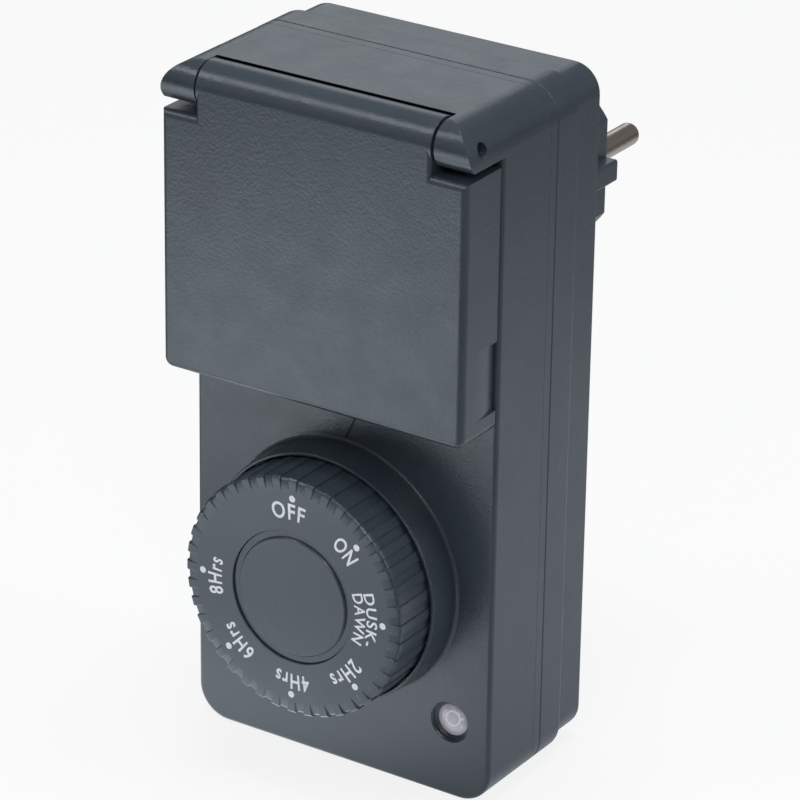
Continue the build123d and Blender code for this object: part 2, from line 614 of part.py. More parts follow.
def make_busbar(side):
    """From a pin's shank back through the plug and down to the circuit board."""
    pin_end = -PLUG_FACE_THICKNESS - PIN_TAIL - STRIP_THICKNESS / 2
    foot = BOARD_TOP - BUSBAR_TOP_INSET
    points = [(pin_end, STRIP_WIDTH / 2), (pin_end, 0), (BUSBAR_Y, 0), (BUSBAR_Y, foot), (BOARD_BACK, foot)]
    return bent_strip(points, STRIP_WIDTH, side * PIN_SIDE)


# Socket


def well_outline(clearance=0.0):
    """The well's outline: round with two flats, and a slot in each flat for a plug's rib."""
    slot_reach = PLUG_FLAT + RIB_PROUD + GUIDE_CLEARANCE
    slots = Rectangle(2 * slot_reach, RIB_HEIGHT + 2 * GUIDE_CLEARANCE)
    return plug_outline(WELL_RADIUS + clearance, WELL_FLAT + clearance) + slots


def make_socket_insert():
    insert = rod_y(INSERT_RADIUS, COLLAR_FRONT, WELL_FLOOR_BACK)
    insert = fillet(edges_at(insert, Axis.Y, COLLAR_FRONT), WELL_WALL / 4)
    insert += rod_y(INSERT_FLANGE_RADIUS, FRONT_INSIDE, FRONT_INSIDE + INSERT_FLANGE_THICKNESS)
    insert -= along_y(well_outline(), COLLAR_FRONT - 1, WELL_FLOOR_FRONT)
    for side in (-1, 1):
        insert -= rod_y(PIN_HOLE_RADIUS, WELL_FLOOR_FRONT - 1, WELL_FLOOR_BACK + 1, side * PIN_SIDE, 0)
    groove = EARTH_OUTSIDE + EARTH_SLOT_CLEARANCE
    insert -= earth_finger_slots(WELL_RADIUS - STRIP_THICKNESS, groove, FRONT, WELL_FLOOR_FRONT)
    insert -= earth_finger_slots(WELL_RADIUS, groove, WELL_FLOOR_FRONT - 1, WELL_FLOOR_BACK + 1)
    return insert


def make_socket_earth_strap():
    """One strip: two sprung fingers in the well's top and bottom, joined behind the contact carrier."""
    outside = EARTH_OUTSIDE - STRIP_THICKNESS / 2
    nose = WELL_RADIUS - 3 * STRIP_THICKNESS
    span = WELL_FLOOR_FRONT - FRONT
    finger = [
        (FRONT + span * 0.12, outside - STRIP_THICKNESS),
        (FRONT + span * 0.3, nose),
        (FRONT + span * 0.6, outside),
        (EARTH_BRIDGE, outside),
    ]
    return bent_strip(finger + [(y, -z) for y, z in reversed(finger)], EARTH_WIDTH)


def make_contact_carrier():
    """The plate behind the well that guides the shutter and holds the contacts."""
    half = CARRIER_HEIGHT / 2
    carrier = block(CARRIER_LEFT, CARRIER_RIGHT, WELL_FLOOR_BACK, CARRIER_BACK, -half, half)
    carrier = fillet(carrier.edges().filter_by(Axis.Y), CARRIER_END_WALL)
    channel = SHUTTER_HEIGHT / 2 + SHUTTER_CLEARANCE
    left = -SHUTTER_REACH - SHUTTER_CLEARANCE
    carrier -= block(left, SPRING_END, WELL_FLOOR_BACK - 1, CLIP_FRONT, -channel, channel)
    for side in (-1, 1):
        carrier -= rod_y(CLIP_RADIUS + SCREW_CLEARANCE, CLIP_FRONT - 1, CARRIER_BACK + 1, side * PIN_SIDE, 0)
    return carrier


def make_socket_shutter():
    """A slide with one pin opening; its left end clears the other pin hole once it has moved."""
    front = WELL_FLOOR_BACK + SHUTTER_CLEARANCE
    back = front + SHUTTER_THICKNESS
    half = SHUTTER_HEIGHT / 2
    shutter = block(-SHUTTER_REACH, SHUTTER_REACH, front, back, -half, half)
    shutter = chamfer(edges_at(shutter, Axis.X, -SHUTTER_REACH), SHUTTER_THICKNESS / 4)
    opening = PIN_SIDE - SHUTTER_TRAVEL
    shutter -= rod_y(PIN_HOLE_RADIUS, front - 1, back + 1, opening, 0)
    return shutter


def make_shutter_spring():
    """A small spring between the shutter's right end and the carrier's end wall."""
    left = SHUTTER_REACH + SHUTTER_SPRING_WIRE
    right = SPRING_END - SHUTTER_SPRING_WIRE
    pitch = (right - left) / SHUTTER_SPRING_TURNS
    coil = spring_coil(SHUTTER_SPRING_RADIUS, SHUTTER_SPRING_WIRE, pitch, SHUTTER_SPRING_TURNS)
    return Pos(left, WELL_FLOOR_BACK + SHUTTER_SPACE / 2, 0) * Rot(0, 90, 0) * coil


def make_socket_contact(side):
    """A split sleeve that grips a pin, with a tail down to the circuit board."""
    x = side * PIN_SIDE
    back = CLIP_FRONT + CLIP_LENGTH
    half_slot = CLIP_SLOT / 2
    slot_front = CLIP_FRONT + CLIP_LENGTH / 4
    flange_back = CARRIER_BACK + CLIP_THICKNESS
    contact = ring_y(CLIP_BORE_RADIUS, CLIP_RADIUS, CLIP_FRONT, back, x, 0)
    contact -= block(x - half_slot, x + half_slot, slot_front, back + 1, 0, CLIP_RADIUS + 1)
    contact += ring_y(CLIP_BORE_RADIUS, CLIP_RADIUS + CLIP_FLANGE, CARRIER_BACK, flange_back, x, 0)
    tail_y = CARRIER_BACK + CLIP_LENGTH / 3
    foot = BOARD_TOP - CONTACT_TOP_INSET
    top = -CLIP_BORE_RADIUS - CLIP_THICKNESS / 2
    return contact + bent_strip([(tail_y, top), (tail_y, foot), (BOARD_BACK, foot)], STRIP_WIDTH, x)


# Lid


def make_lid():
    height = LID_SHOULDER - LID_FOOT
    outline = Rectangle(LID_WIDTH, height)
    outline = fillet(outline.vertices().group_by(Axis.Y)[0], LID_CORNER)
    lid = along_y(outline, LID_FRONT, LID_BACK)
    neck_foot = LID_SHOULDER - LID_CORNER
    lid += block(-BARREL_HALF, BARREL_HALF, LID_FRONT, HINGE_Y, neck_foot, HINGE_Z)
    lid = fillet(lid_front_edges(lid).filter_by(is_lid_outline), LID_SIDE_ROUND)
    lid = fillet(lid_front_edges(lid).filter_by(lambda edge: not is_lid_outline(edge)), LID_EDGE_ROUND)
    lid += rod_x(BARREL_RADIUS, -BARREL_HALF, BARREL_HALF, HINGE_Y, HINGE_Z)
    inside = (LID_WIDTH - 2 * LID_WALL, height - 2 * LID_WALL, LID_CORNER / 2)
    lid -= slab(*inside, LID_INSIDE, LID_BACK + 1)
    half = SPRING_POCKET_LENGTH / 2
    lid -= rod_x(SPRING_POCKET_RADIUS, -half, half, HINGE_Y, HINGE_Z)
    low, high = HINGE_Z - SPRING_POCKET_RADIUS, HINGE_Z + SPRING_POCKET_RADIUS
    lid -= block(-half, half, HINGE_Y, HINGE_Y + 2 * BARREL_RADIUS, low, high)
    bore = HINGE_PIN_RADIUS + HINGE_RUNNING_CLEARANCE
    lid -= rod_x(bore, -BARREL_HALF - 1, BARREL_HALF + 1, HINGE_Y, HINGE_Z)
    for side in (-1, 1):
        lid -= make_thumb_scoop(side)
    return lid


def lid_front_edges(lid):
    """The edges round the lid's front, apart from the line where it meets the barrel."""
    return edges_at(lid, Axis.Y, LID_FRONT).filter_by(lambda edge: edge.center().Z < HINGE_Z - 0.5)


def is_lid_outline(edge):
    """True for the edges along the lid's sides and shoulders, which lie outside the barrel's neck."""
    return abs(edge.center().X) > BARREL_HALF


def make_thumb_scoop(side):
    """A hollow in the lid's side wall between a level sill and a level top, for lifting the lid.

    It starts level with the side and bends away from it towards the lid's back edge.
    """
    radius = (SCOOP_LENGTH**2 + SCOOP_DEPTH**2) / (2 * SCOOP_DEPTH)
    front = LID_BACK - SCOOP_LENGTH
    sill = LID_FOOT + SCOOP_RISE
    inside, outside = sorted((side * (LID_WIDTH / 2 - LID_WALL), side * (LID_WIDTH / 2 + 1)))
    room = block(inside, outside, front, LID_BACK + 1, sill, sill + SCOOP_HEIGHT)
    return room - Pos(side * (LID_WIDTH / 2 - radius), front, sill) * Cylinder(radius, 3 * SCOOP_HEIGHT)


def make_lid_gasket():
    back = COLLAR_FRONT - LID_SEAL_CLEARANCE
    return ring_y(LID_SEAL_INNER_RADIUS, LID_SEAL_OUTER_RADIUS, LID_INSIDE, back)


def make_hinge_pin():
    half = HOUSING_WIDTH / 2 - HINGE_PIN_RECESS
    pin = rod_x(HINGE_PIN_RADIUS, -half, half, HINGE_Y, HINGE_Z)
    return chamfer(pin.edges().filter_by(GeomType.CIRCLE), HINGE_PIN_RADIUS / 6)


def make_lid_spring():
    """The torsion spring round the hinge pin, with a leg towards the housing and one towards the lid."""
    pitch = 2.4 * SPRING_WIRE_RADIUS
    half = pitch * SPRING_TURNS / 2
    coil = spring_coil(SPRING_MEAN_RADIUS, SPRING_WIRE_RADIUS, pitch, SPRING_TURNS)
    spring = Pos(-half, HINGE_Y, HINGE_Z) * Rot(0, 90, 0) * coil
    drop = HINGE_Z - SPRING_MEAN_RADIUS
    lid_leg = sqrt(SPRING_POCKET_RADIUS**2 - SPRING_MEAN_RADIUS**2) - 2 * SPRING_WIRE_RADIUS
    housing_leg = sqrt(BARREL_RADIUS**2 - SPRING_MEAN_RADIUS**2) - SPRING_WIRE_RADIUS
    leg_radius = 0.8 * SPRING_WIRE_RADIUS
    spring += rod_y(leg_radius, HINGE_Y - lid_leg, HINGE_Y + leg_radius, -half, drop)
    return spring + rod_y(leg_radius, HINGE_Y - leg_radius, HINGE_Y + housing_leg, half, drop)


# Dial


def make_dial_knob():
    knob = rod_y(KNOB_RADIUS, KNOB_FRONT, KNOB_BACK, 0, DIAL_Z)
    knob = chamfer(edges_at(knob, Axis.Y, KNOB_FRONT), KNOB_EDGE)
    flute_radius = (FLUTE_WIDTH**2 / 4 + FLUTE_DEPTH**2) / (2 * FLUTE_DEPTH)
    distance = KNOB_RADIUS + flute_radius - FLUTE_DEPTH
    flutes = []
    for number in range(FLUTES):
        angle = radians(360 / FLUTES * (number + 0.5))
        place = (distance * sin(angle), DIAL_Z + distance * cos(angle))
        flutes.append(rod_y(flute_radius, KNOB_FRONT - 1, KNOB_BACK + 1, *place))
    knob -= flutes
    inside = KNOB_FRONT + KNOB_FACE
    knob -= ring_y(HUB_RADIUS, KNOB_RADIUS - KNOB_SKIRT, inside, KNOB_BACK + 1, 0, DIAL_Z)
    knob -= shaft_section(SHAFT_FRONT, KNOB_BACK + 1, SCREW_CLEARANCE)
    knob -= rod_y(CAP_RADIUS + CAP_CLEARANCE, KNOB_FRONT - 1, KNOB_FRONT + CAP_THICKNESS, 0, DIAL_Z)
    return knob


def shaft_section(y_front, y_back, clearance=0.0):
    """A round shaft with one flat on its upper side."""
    shaft = rod_y(SHAFT_RADIUS + clearance, y_front, y_back, 0, DIAL_Z)
    flat = DIAL_Z + SHAFT_RADIUS - SHAFT_FLAT + clearance
    reach = 2 * SHAFT_RADIUS
    return shaft - block(-reach, reach, y_front - 1, y_back + 1, flat, flat + reach)


def make_dial_cap():
    cap = rod_y(CAP_RADIUS, KNOB_FRONT + CAP_STEP, KNOB_FRONT + CAP_THICKNESS, 0, DIAL_Z)
    raised = rod_y(CAP_RADIUS - CAP_STEP_WIDTH, KNOB_FRONT, KNOB_FRONT + CAP_THICKNESS, 0, DIAL_Z)
    return cap + chamfer(edges_at(raised, Axis.Y, KNOB_FRONT), CAP_STEP / 2)


def make_dial_shaft():
    """Flatted in the knob and in the switch, and round where it runs in the bush."""
    switch_end = BOARD_FRONT - SWITCH_WALL
    shaft = shaft_section(SHAFT_FRONT, KNOB_BACK)
    shaft += rod_y(SHAFT_RADIUS, KNOB_BACK, SWITCH_FRONT, 0, DIAL_Z)
    shaft += shaft_section(SWITCH_FRONT, switch_end)
    bottom = SHAFT_RADIUS - SHAFT_GROOVE_DEPTH
    return shaft - ring_y(bottom, SHAFT_RADIUS + 1, SHAFT_CLIP_FRONT, SHAFT_CLIP_BACK, 0, DIAL_Z)


def make_dial_seal():
    """An O-ring on the shaft, in the gland at the bottom of the boss."""
    middle = BOSS_FLOOR + DIAL_SEAL_SECTION / 2
    ring_radius = SHAFT_RADIUS + DIAL_SEAL_SECTION / 2 + SCREW_CLEARANCE
    return Pos(0, middle, DIAL_Z) * Rot(90, 0, 0) * Torus(ring_radius, DIAL_SEAL_SECTION / 2)


def make_shaft_clip():
    """The open ring that keeps the shaft in its bush."""
    front, back = SHAFT_CLIP_FRONT, SHAFT_CLIP_BACK
    mouth = SHAFT_RADIUS - SHAFT_GROOVE_DEPTH
    clip = ring_y(mouth, SHAFT_CLIP_RADIUS, front, back, 0, DIAL_Z)
    return clip - block(-mouth, mouth, front - 1, back + 1, DIAL_Z - 2 * SHAFT_CLIP_RADIUS, DIAL_Z)


def make_switch_rotor():
    """The notched wheel inside the rotary switch."""
    front = SWITCH_FRONT + SWITCH_WALL + ROTOR_CLEARANCE
    rotor = rod_y(ROTOR_RADIUS, front, front + ROTOR_THICKNESS, 0, DIAL_Z)
    for number in range(ROTOR_NOTCHES):
        angle = radians(360 / ROTOR_NOTCHES * number)
        place = (ROTOR_RADIUS * sin(angle), DIAL_Z + ROTOR_RADIUS * cos(angle))
        rotor -= rod_y(ROTOR_NOTCH_RADIUS, front - 1, front + ROTOR_THICKNESS + 1, *place)
    return rotor - shaft_section(front - 1, front + ROTOR_THICKNESS + 1, SCREW_CLEARANCE)


def make_switch_body():
    """The rotary switch's case, soldered to the board's front."""
    body = slab(SWITCH_SIDE, SWITCH_SIDE, SWITCH_WALL, SWITCH_FRONT, BOARD_FRONT, 0, DIAL_Z)
    room_front = SWITCH_FRONT + SWITCH_WALL
    room_back = BOARD_FRONT - SWITCH_WALL + SHAFT_RUNNING_CLEARANCE
    body -= rod_y(ROTOR_RADIUS + ROTOR_CLEARANCE, room_front, room_back, 0, DIAL_Z)
    return body - rod_y(SHAFT_RADIUS + SHAFT_RUNNING_CLEARANCE, SWITCH_FRONT - 1, room_front + 1, 0, DIAL_Z)


# Light sensor


def make_sensor_lens():
    dome_radius = SENSOR_HOLE_RADIUS - LENS_CLEARANCE
    ball_radius = (dome_radius**2 + LENS_DOME_RISE**2) / (2 * LENS_DOME_RISE)
    dome_front = LENS_SEAL_BACK - LENS_STEM - LENS_DOME_RISE
    ball = Pos(SENSOR_X, dome_front + ball_radius, SENSOR_Z) * Sphere(ball_radius)
    dome = ball & rod_y(dome_radius, dome_front, LENS_SEAL_BACK, SENSOR_X, SENSOR_Z)
    flange_back = LENS_SEAL_BACK + LENS_FLANGE_THICKNESS
    return dome + rod_y(LENS_FLANGE_RADIUS, LENS_SEAL_BACK, flange_back, SENSOR_X, SENSOR_Z)


def make_lens_seal():
    return ring_y(SENSOR_HOLE_RADIUS, LENS_FLANGE_RADIUS, FRONT_INSIDE, LENS_SEAL_BACK, SENSOR_X, SENSOR_Z)


def make_light_sensor():
    front = BOARD_FRONT - SENSOR_BODY_LENGTH
    body = rod_y(SENSOR_BODY_RADIUS, front, BOARD_FRONT, SENSOR_X, SENSOR_Z)
    return fillet(edges_at(body, Axis.Y, front), SENSOR_BODY_RADIUS * 0.8)


# Electronics


def make_circuit_board():
    middle = (BOARD_TOP + BOARD_FOOT) / 2
    board = slab(BOARD_WIDTH, BOARD_TOP - BOARD_FOOT, BOARD_CORNER, BOARD_FRONT, BOARD_BACK, 0, middle)
    for x, z in BOARD_POST_PLACES:
        board -= rod_y(BOARD_SCREW_RADIUS + SCREW_CLEARANCE, BOARD_FRONT - 1, BOARD_BACK + 1, x, z)
    return board


def make_board_screws():
    """Identical small screws, one node."""
    screws = []
    for x, z in BOARD_POST_PLACES:
        head = rod_y(BOARD_SCREW_HEAD_RADIUS, BOARD_BACK, BOARD_BACK + BOARD_SCREW_HEAD, x, z)
        head = fillet(edges_at(head, Axis.Y, BOARD_BACK + BOARD_SCREW_HEAD), BOARD_SCREW_HEAD / 3)
        screws.append(head + rod_y(BOARD_SCREW_RADIUS, BOARD_FRONT - BOARD_SCREW_GRIP, BOARD_BACK, x, z))
    return Compound(children=screws)


def on_board(size, place):
    """A rectangular component that stands on the board's back."""
    across, up, out = size
    x, rise = place
    return slab(across, up, CASE_CORNER, BOARD_BACK, BOARD_BACK + out, x, BOARD_FOOT + rise)


def make_relay():
    return on_board(RELAY_SIZE, RELAY_PLACE)


def make_film_capacitor():
    return on_board(FILM_CAPACITOR_SIZE, FILM_CAPACITOR_PLACE)


def make_controller_chip():
    return on_board(CHIP_SIZE, CHIP_PLACE)


def make_smoothing_capacitor():
    x, rise = SMOOTHING_CAPACITOR_PLACE
    end = BOARD_BACK + SMOOTHING_CAPACITOR_LENGTH
    can = rod_y(SMOOTHING_CAPACITOR_RADIUS, BOARD_BACK, end, x, BOARD_FOOT + rise)
    return fillet(edges_at(can, Axis.Y, end), SMOOTHING_CAPACITOR_RADIUS / 8)


def make_varistor():
    """A disc that stands on its edge on two short legs."""
    x, rise = VARISTOR_PLACE
    z = BOARD_FOOT + rise
    middle = BOARD_BACK + LEG_LENGTH + VARISTOR_RADIUS
    half = VARISTOR_THICKNESS / 2
    disc = rod_x(VARISTOR_RADIUS, x - half, x + half, middle, z)
    disc = fillet(disc.edges().filter_by(GeomType.CIRCLE), VARISTOR_THICKNESS / 4)
    for side in (-1, 1):
        disc += rod_y(LEG_RADIUS, BOARD_BACK, middle, x, z + side * VARISTOR_LEG_SIDE)
    return disc


def make_fuse():
    """A glass tube between two end caps, each on a foot."""
    x, rise = FUSE_PLACE
    z = BOARD_FOOT + rise
    middle = BOARD_BACK + FUSE_RADIUS + FUSE_GAP
    left, right = x - FUSE_LENGTH / 2, x + FUSE_LENGTH / 2
    fuse = rod_x(FUSE_RADIUS - FUSE_CAP_WALL, left, right, middle, z)
    inset = FUSE_CAP_LENGTH / 4
    for start in (left, right - FUSE_CAP_LENGTH):
        end = start + FUSE_CAP_LENGTH
        fuse += rod_x(FUSE_RADIUS, start, end, middle, z)
        fuse += block(start + inset, end - inset, BOARD_BACK, middle, z - inset, z + inset)
    return fuse


def make_rectifier_diodes():
    """A row of identical diodes, each lying on its side over two legs."""
    middle_x, rise = DIODE_PLACE
    z = BOARD_FOOT + rise
    middle_y = BOARD_BACK + DIODE_RADIUS + DIODE_GAP
    diodes = []
    for number in range(DIODES):
        x = middle_x + DIODE_PITCH * (number - (DIODES - 1) / 2)
        body = Pos(x, middle_y, z) * Cylinder(DIODE_RADIUS, DIODE_LENGTH)
        for side in (-1, 1):
            body += rod_y(LEG_RADIUS, BOARD_BACK, middle_y, x, z + side * (DIODE_LENGTH / 2 - LEG_RADIUS))
        diodes.append(body)
    return Compound(children=diodes)


NODES = {
    "front_shell": make_front_shell,
    "rear_shell": make_rear_shell,
    "shell_gasket": lambda: shell_seal_ring(0.0),
    "housing_screws": make_housing_screws,
    "plug_body": make_plug_body,
    "plug_pin_live": lambda: make_plug_pin(-1),
    "plug_pin_neutral": lambda: make_plug_pin(1),
    "plug_earth_strap": make_plug_earth_strap,
    "earth_link": make_earth_link,
    "live_busbar": lambda: make_busbar(-1),
    "neutral_busbar": lambda: make_busbar(1),
    "socket_insert": make_socket_insert,
    "socket_earth_strap": make_socket_earth_strap,
    "contact_carrier": make_contact_carrier,
    "socket_contact_live": lambda: make_socket_contact(-1),
    "socket_contact_neutral": lambda: make_socket_contact(1),
    "socket_shutter": make_socket_shutter,
    "shutter_spring": make_shutter_spring,
    "lid": make_lid,
    "lid_gasket": make_lid_gasket,
    "hinge_pin": make_hinge_pin,
    "lid_spring": make_lid_spring,
    "dial_knob": make_dial_knob,
    "dial_cap": make_dial_cap,
    "dial_shaft": make_dial_shaft,
    "dial_seal": make_dial_seal,
    "shaft_clip": make_shaft_clip,
    "switch_rotor": make_switch_rotor,
    "switch_body": make_switch_body,
    "sensor_lens": make_sensor_lens,
    "lens_seal": make_lens_seal,
    "light_sensor": make_light_sensor,
    "circuit_board": make_circuit_board,
    "board_screws": make_board_screws,
    "relay": make_relay,
    "film_capacitor": make_film_capacitor,
    "smoothing_capacitor": make_smoothing_capacitor,
    "varistor": make_varistor,
    "fuse": make_fuse,
    "rectifier_diodes": make_rectifier_diodes,
    "controller_chip": make_controller_chip,
}


def main():
    os.makedirs("parts", exist_ok=True)
    for name, make in NODES.items():
        export_step(make(), f"parts/{name}.step")


if __name__ == "__main__":
    main()
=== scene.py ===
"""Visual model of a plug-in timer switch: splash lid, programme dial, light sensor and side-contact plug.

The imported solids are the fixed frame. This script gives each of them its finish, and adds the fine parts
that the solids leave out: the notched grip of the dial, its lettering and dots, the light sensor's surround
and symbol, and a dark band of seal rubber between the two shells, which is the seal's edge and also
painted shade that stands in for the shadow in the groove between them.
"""

import json
import logging
import math
from collections.abc import Callable, Sequence
from dataclasses import dataclass, field
from enum import Enum

import bmesh
import bpy
from mathutils import Matrix, Vector


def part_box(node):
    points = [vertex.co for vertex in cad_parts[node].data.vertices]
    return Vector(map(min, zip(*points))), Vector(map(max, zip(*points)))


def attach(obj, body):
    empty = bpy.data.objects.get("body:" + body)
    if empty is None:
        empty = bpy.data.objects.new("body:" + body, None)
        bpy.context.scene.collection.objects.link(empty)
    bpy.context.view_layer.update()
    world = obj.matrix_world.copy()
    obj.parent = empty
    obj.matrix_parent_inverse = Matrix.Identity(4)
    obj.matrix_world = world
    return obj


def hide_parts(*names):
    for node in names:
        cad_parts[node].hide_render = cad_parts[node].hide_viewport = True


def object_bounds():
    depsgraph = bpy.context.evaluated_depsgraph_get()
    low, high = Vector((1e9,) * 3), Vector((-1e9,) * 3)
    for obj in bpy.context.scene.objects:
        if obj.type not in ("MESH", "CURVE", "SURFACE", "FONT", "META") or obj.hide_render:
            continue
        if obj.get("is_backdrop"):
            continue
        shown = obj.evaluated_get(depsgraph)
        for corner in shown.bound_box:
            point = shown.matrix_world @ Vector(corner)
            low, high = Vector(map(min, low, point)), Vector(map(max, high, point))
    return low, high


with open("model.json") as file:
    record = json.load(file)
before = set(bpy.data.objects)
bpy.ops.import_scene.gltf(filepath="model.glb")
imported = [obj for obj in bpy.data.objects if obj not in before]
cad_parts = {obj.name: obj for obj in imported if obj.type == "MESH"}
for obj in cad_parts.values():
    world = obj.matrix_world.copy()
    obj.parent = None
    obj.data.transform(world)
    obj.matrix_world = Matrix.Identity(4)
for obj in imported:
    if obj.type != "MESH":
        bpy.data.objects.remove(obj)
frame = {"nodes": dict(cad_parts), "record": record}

LOG = logging.getLogger("timer_switch")
MM = 0.001
Colour = tuple[float, float, float]
Point = Sequence[float]
Face = Sequence[int]


class Body(Enum):
    """The rigid bodies that new pieces ride on."""

    HOUSING = "housing"
    DIAL = "dial"


class Slot(Enum):
    """The record's material slots that new pieces take their finish from."""

    KNOB = "knob_plastic"
    HOUSING = "housing_plastic"
    SEAL = "seal_rubber"


# Colours

WHITE: Colour = (1.0, 1.0, 1.0)


def srgb(red: int, green: int, blue: int) -> Colour:
    """Turn display colour values into the linear ones that shaders use.

    Args:
        red: Red from 0 to 255.
        green: Green from 0 to 255.
        blue: Blue from 0 to 255.

    Returns:
        The linear colour.
    """

    def linear(value: int) -> float:
        """Undo the display curve of one value."""
        share = value / 255
        return share / 12.92 if share <= 0.04045 else ((share + 0.055) / 1.055) ** 2.4

    return linear(red), linear(green), linear(blue)


def tinted(colour: Colour, factor: float) -> Colour:
    """The colour made lighter or darker by a factor."""
    return colour[0] * factor, colour[1] * factor, colour[2] * factor


def blended(colour: Colour, other: Colour, share: float) -> Colour:
    """The colour taken a share of the way to another one."""
    red, green, blue = (a + (b - a) * share for a, b in zip(colour, other))
    return red, green, blue


# Node trees

# A noise stays between these two values nearly everywhere.
NOISE_SPAN = (0.3, 0.7)
BEVEL_SAMPLES = 6


@dataclass(frozen=True)
class Noise:
    """Smooth noise: the size of its spots in metres, and the number and strength of its finer layers."""

    size: float
    detail: float = 2.0
    roughness: float = 0.5


class NodeTree:
    """A node tree under construction."""

    def __init__(self, tree: bpy.types.NodeTree) -> None:
        """Empty the tree."""
        self.tree = tree
        self.tree.nodes.clear()

    def node(self, kind: str, **settings: object) -> bpy.types.Node:
        """Add a node.

        Args:
            kind: The node's type name.
            settings: Properties to set on it.

        Returns:
            The new node.
        """
        made = self.tree.nodes.new(kind)
        for name, value in settings.items():
            setattr(made, name, value)
        return made

    def feed(self, node: bpy.types.Node, name: str | int, value: object) -> None:
        """Link an output to an input, or set the input's own value.

        Args:
            node: The node that takes the value.
            name: The input's name or number.
            value: An output socket or a constant.
        """
        if isinstance(value, bpy.types.NodeSocket):
            self.tree.links.new(value, node.inputs[name])
        else:
            node.inputs[name].default_value = value


class ShaderTree(NodeTree):
    """A tree of shaders under construction."""

    def light(self, kind: str, colour: Colour, strength: object = 1.0) -> bpy.types.NodeSocket:
        """A shader that only gives light, from a node of the type named."""
        made = self.node(kind)
        self.feed(made, "Color", (*colour, 1))
        self.feed(made, "Strength", strength)
        return made.outputs[0]

    def blend(self, share: bpy.types.NodeSocket, *shaders: bpy.types.NodeSocket) -> bpy.types.NodeSocket:
        """Blend two shaders, or one and black, by the share of the second from 0 to 1."""
        made = self.node("ShaderNodeMixShader")
        for number, value in enumerate((share, *shaders)):
            self.feed(made, number, value)
        return made.outputs["Shader"]


class Shader(ShaderTree):
    """One node material around a Principled shader, with object coordinates at hand."""

    def __init__(self, name: str) -> None:
        """Start a node material.

        Args:
            name: The material's name.
        """
        self.material = bpy.data.materials.new(name)
        self.material.use_nodes = True
        super().__init__(self.material.node_tree)
        self.output = self.node("ShaderNodeOutputMaterial")
        self.surface = self.node("ShaderNodeBsdfPrincipled")
        self.feed(self.output, "Surface", self.surface.outputs["BSDF"])
        self.place = self.node("ShaderNodeTexCoord").outputs["Object"]

    def set(self, name: str, value: object) -> None:
        """Link or set one input of the Principled shader."""
        self.feed(self.surface, name, value)

    def math(self, operation: str, first: object, second: object) -> bpy.types.NodeSocket:
        """A Math node's operation on two values, each an output socket or a number."""
        made = self.node("ShaderNodeMath", operation=operation)
        self.feed(made, 0, first)
        self.feed(made, 1, second)
        return made.outputs["Value"]

    def noise(self, kind: Noise) -> bpy.types.NodeSocket:
        """Smooth noise around 0.5, fixed to the object."""
        made = self.node("ShaderNodeTexNoise")
        self.feed(made, "Vector", self.place)
        self.feed(made, "Scale", 1 / kind.size)
        self.feed(made, "Detail", kind.detail)
        self.feed(made, "Roughness", kind.roughness)
        return made.outputs["Fac"]

    def spread(
        self,
        source: bpy.types.NodeSocket,
        low: float,
        high: float,
        span: tuple[float, float] = NOISE_SPAN,
        easing: str = "LINEAR",
    ) -> bpy.types.NodeSocket:
        """Map a span of a value to a range.

        Args:
            source: The value.
            low: The result at the start of the span.
            high: The result at its end.
            span: The span, which is that of a noise unless it is given.
            easing: The curve between the two, as Blender names it.

        Returns:
            The mapped value.
        """
        made = self.node("ShaderNodeMapRange", interpolation_type=easing)
        names = ("Value", "From Min", "From Max", "To Min", "To Max")
        for name, value in zip(names, (source, *span, low, high)):
            self.feed(made, name, value)
        return made.outputs["Result"]

    def set_roughness(self, source: bpy.types.NodeSocket, middle: float, unevenness: float) -> None:
        """Let the roughness follow a noise, up to an unevenness below and above its middle value."""
        self.set("Roughness", self.spread(source, middle - unevenness, middle + unevenness))

    def set_colour(
        self, source: bpy.types.NodeSocket, span: tuple[float, float], low: Colour, high: Colour
    ) -> None:
        """Let the base colour fade from one colour to another along a value.

        Args:
            source: The value.
            span: Where the fade starts and ends, from 0 to 1.
            low: The colour at the start.
            high: The colour at the end.
        """
        ramp = self.node("ShaderNodeValToRGB")
        for element, position, colour in zip(ramp.color_ramp.elements, span, (low, high)):
            element.position = position
            element.color = (*colour, 1)
        self.feed(ramp, "Fac", source)
        self.set("Base Color", ramp.outputs["Color"])

    def soft_edges(self, radius: float) -> bpy.types.NodeSocket:
        """The surface's normal, with sharp edges rounded off by a radius in metres."""
        made = self.node("ShaderNodeBevel", samples=BEVEL_SAMPLES)
        self.feed(made, "Radius", radius)
        return made.outputs["Normal"]

    def bump(
        self,
        height: bpy.types.NodeSocket,
        depth: float,
        strength: float = 1.0,
        under: bpy.types.NodeSocket | None = None,
    ) -> bpy.types.NodeSocket:
        """Fine relief.

        Args:
            height: The relief, from 0 to 1.
            depth: Its depth, in metres.
            strength: How much of it counts.
            under: The normal that it lies on.

        Returns:
            The normal.
        """
        made = self.node("ShaderNodeBump")
        self.feed(made, "Height", height)
        self.feed(made, "Distance", depth)
        self.feed(made, "Strength", strength)
        if under is not None:
            self.feed(made, "Normal", under)
        return made.outputs["Normal"]


# Finishes


@dataclass(frozen=True)
class Finish:
    """A named finish, of which each kind dresses its shader in its own way."""

    name: str

    def dress(self, shader: Shader) -> None:
        """Set the shader's inputs."""
        raise NotImplementedError

    def material(self) -> bpy.types.Material:
        """Build the finish as a node material.

        Returns:
            The material.
        """
        shader = Shader(self.name)
        self.dress(shader)
        return shader.material


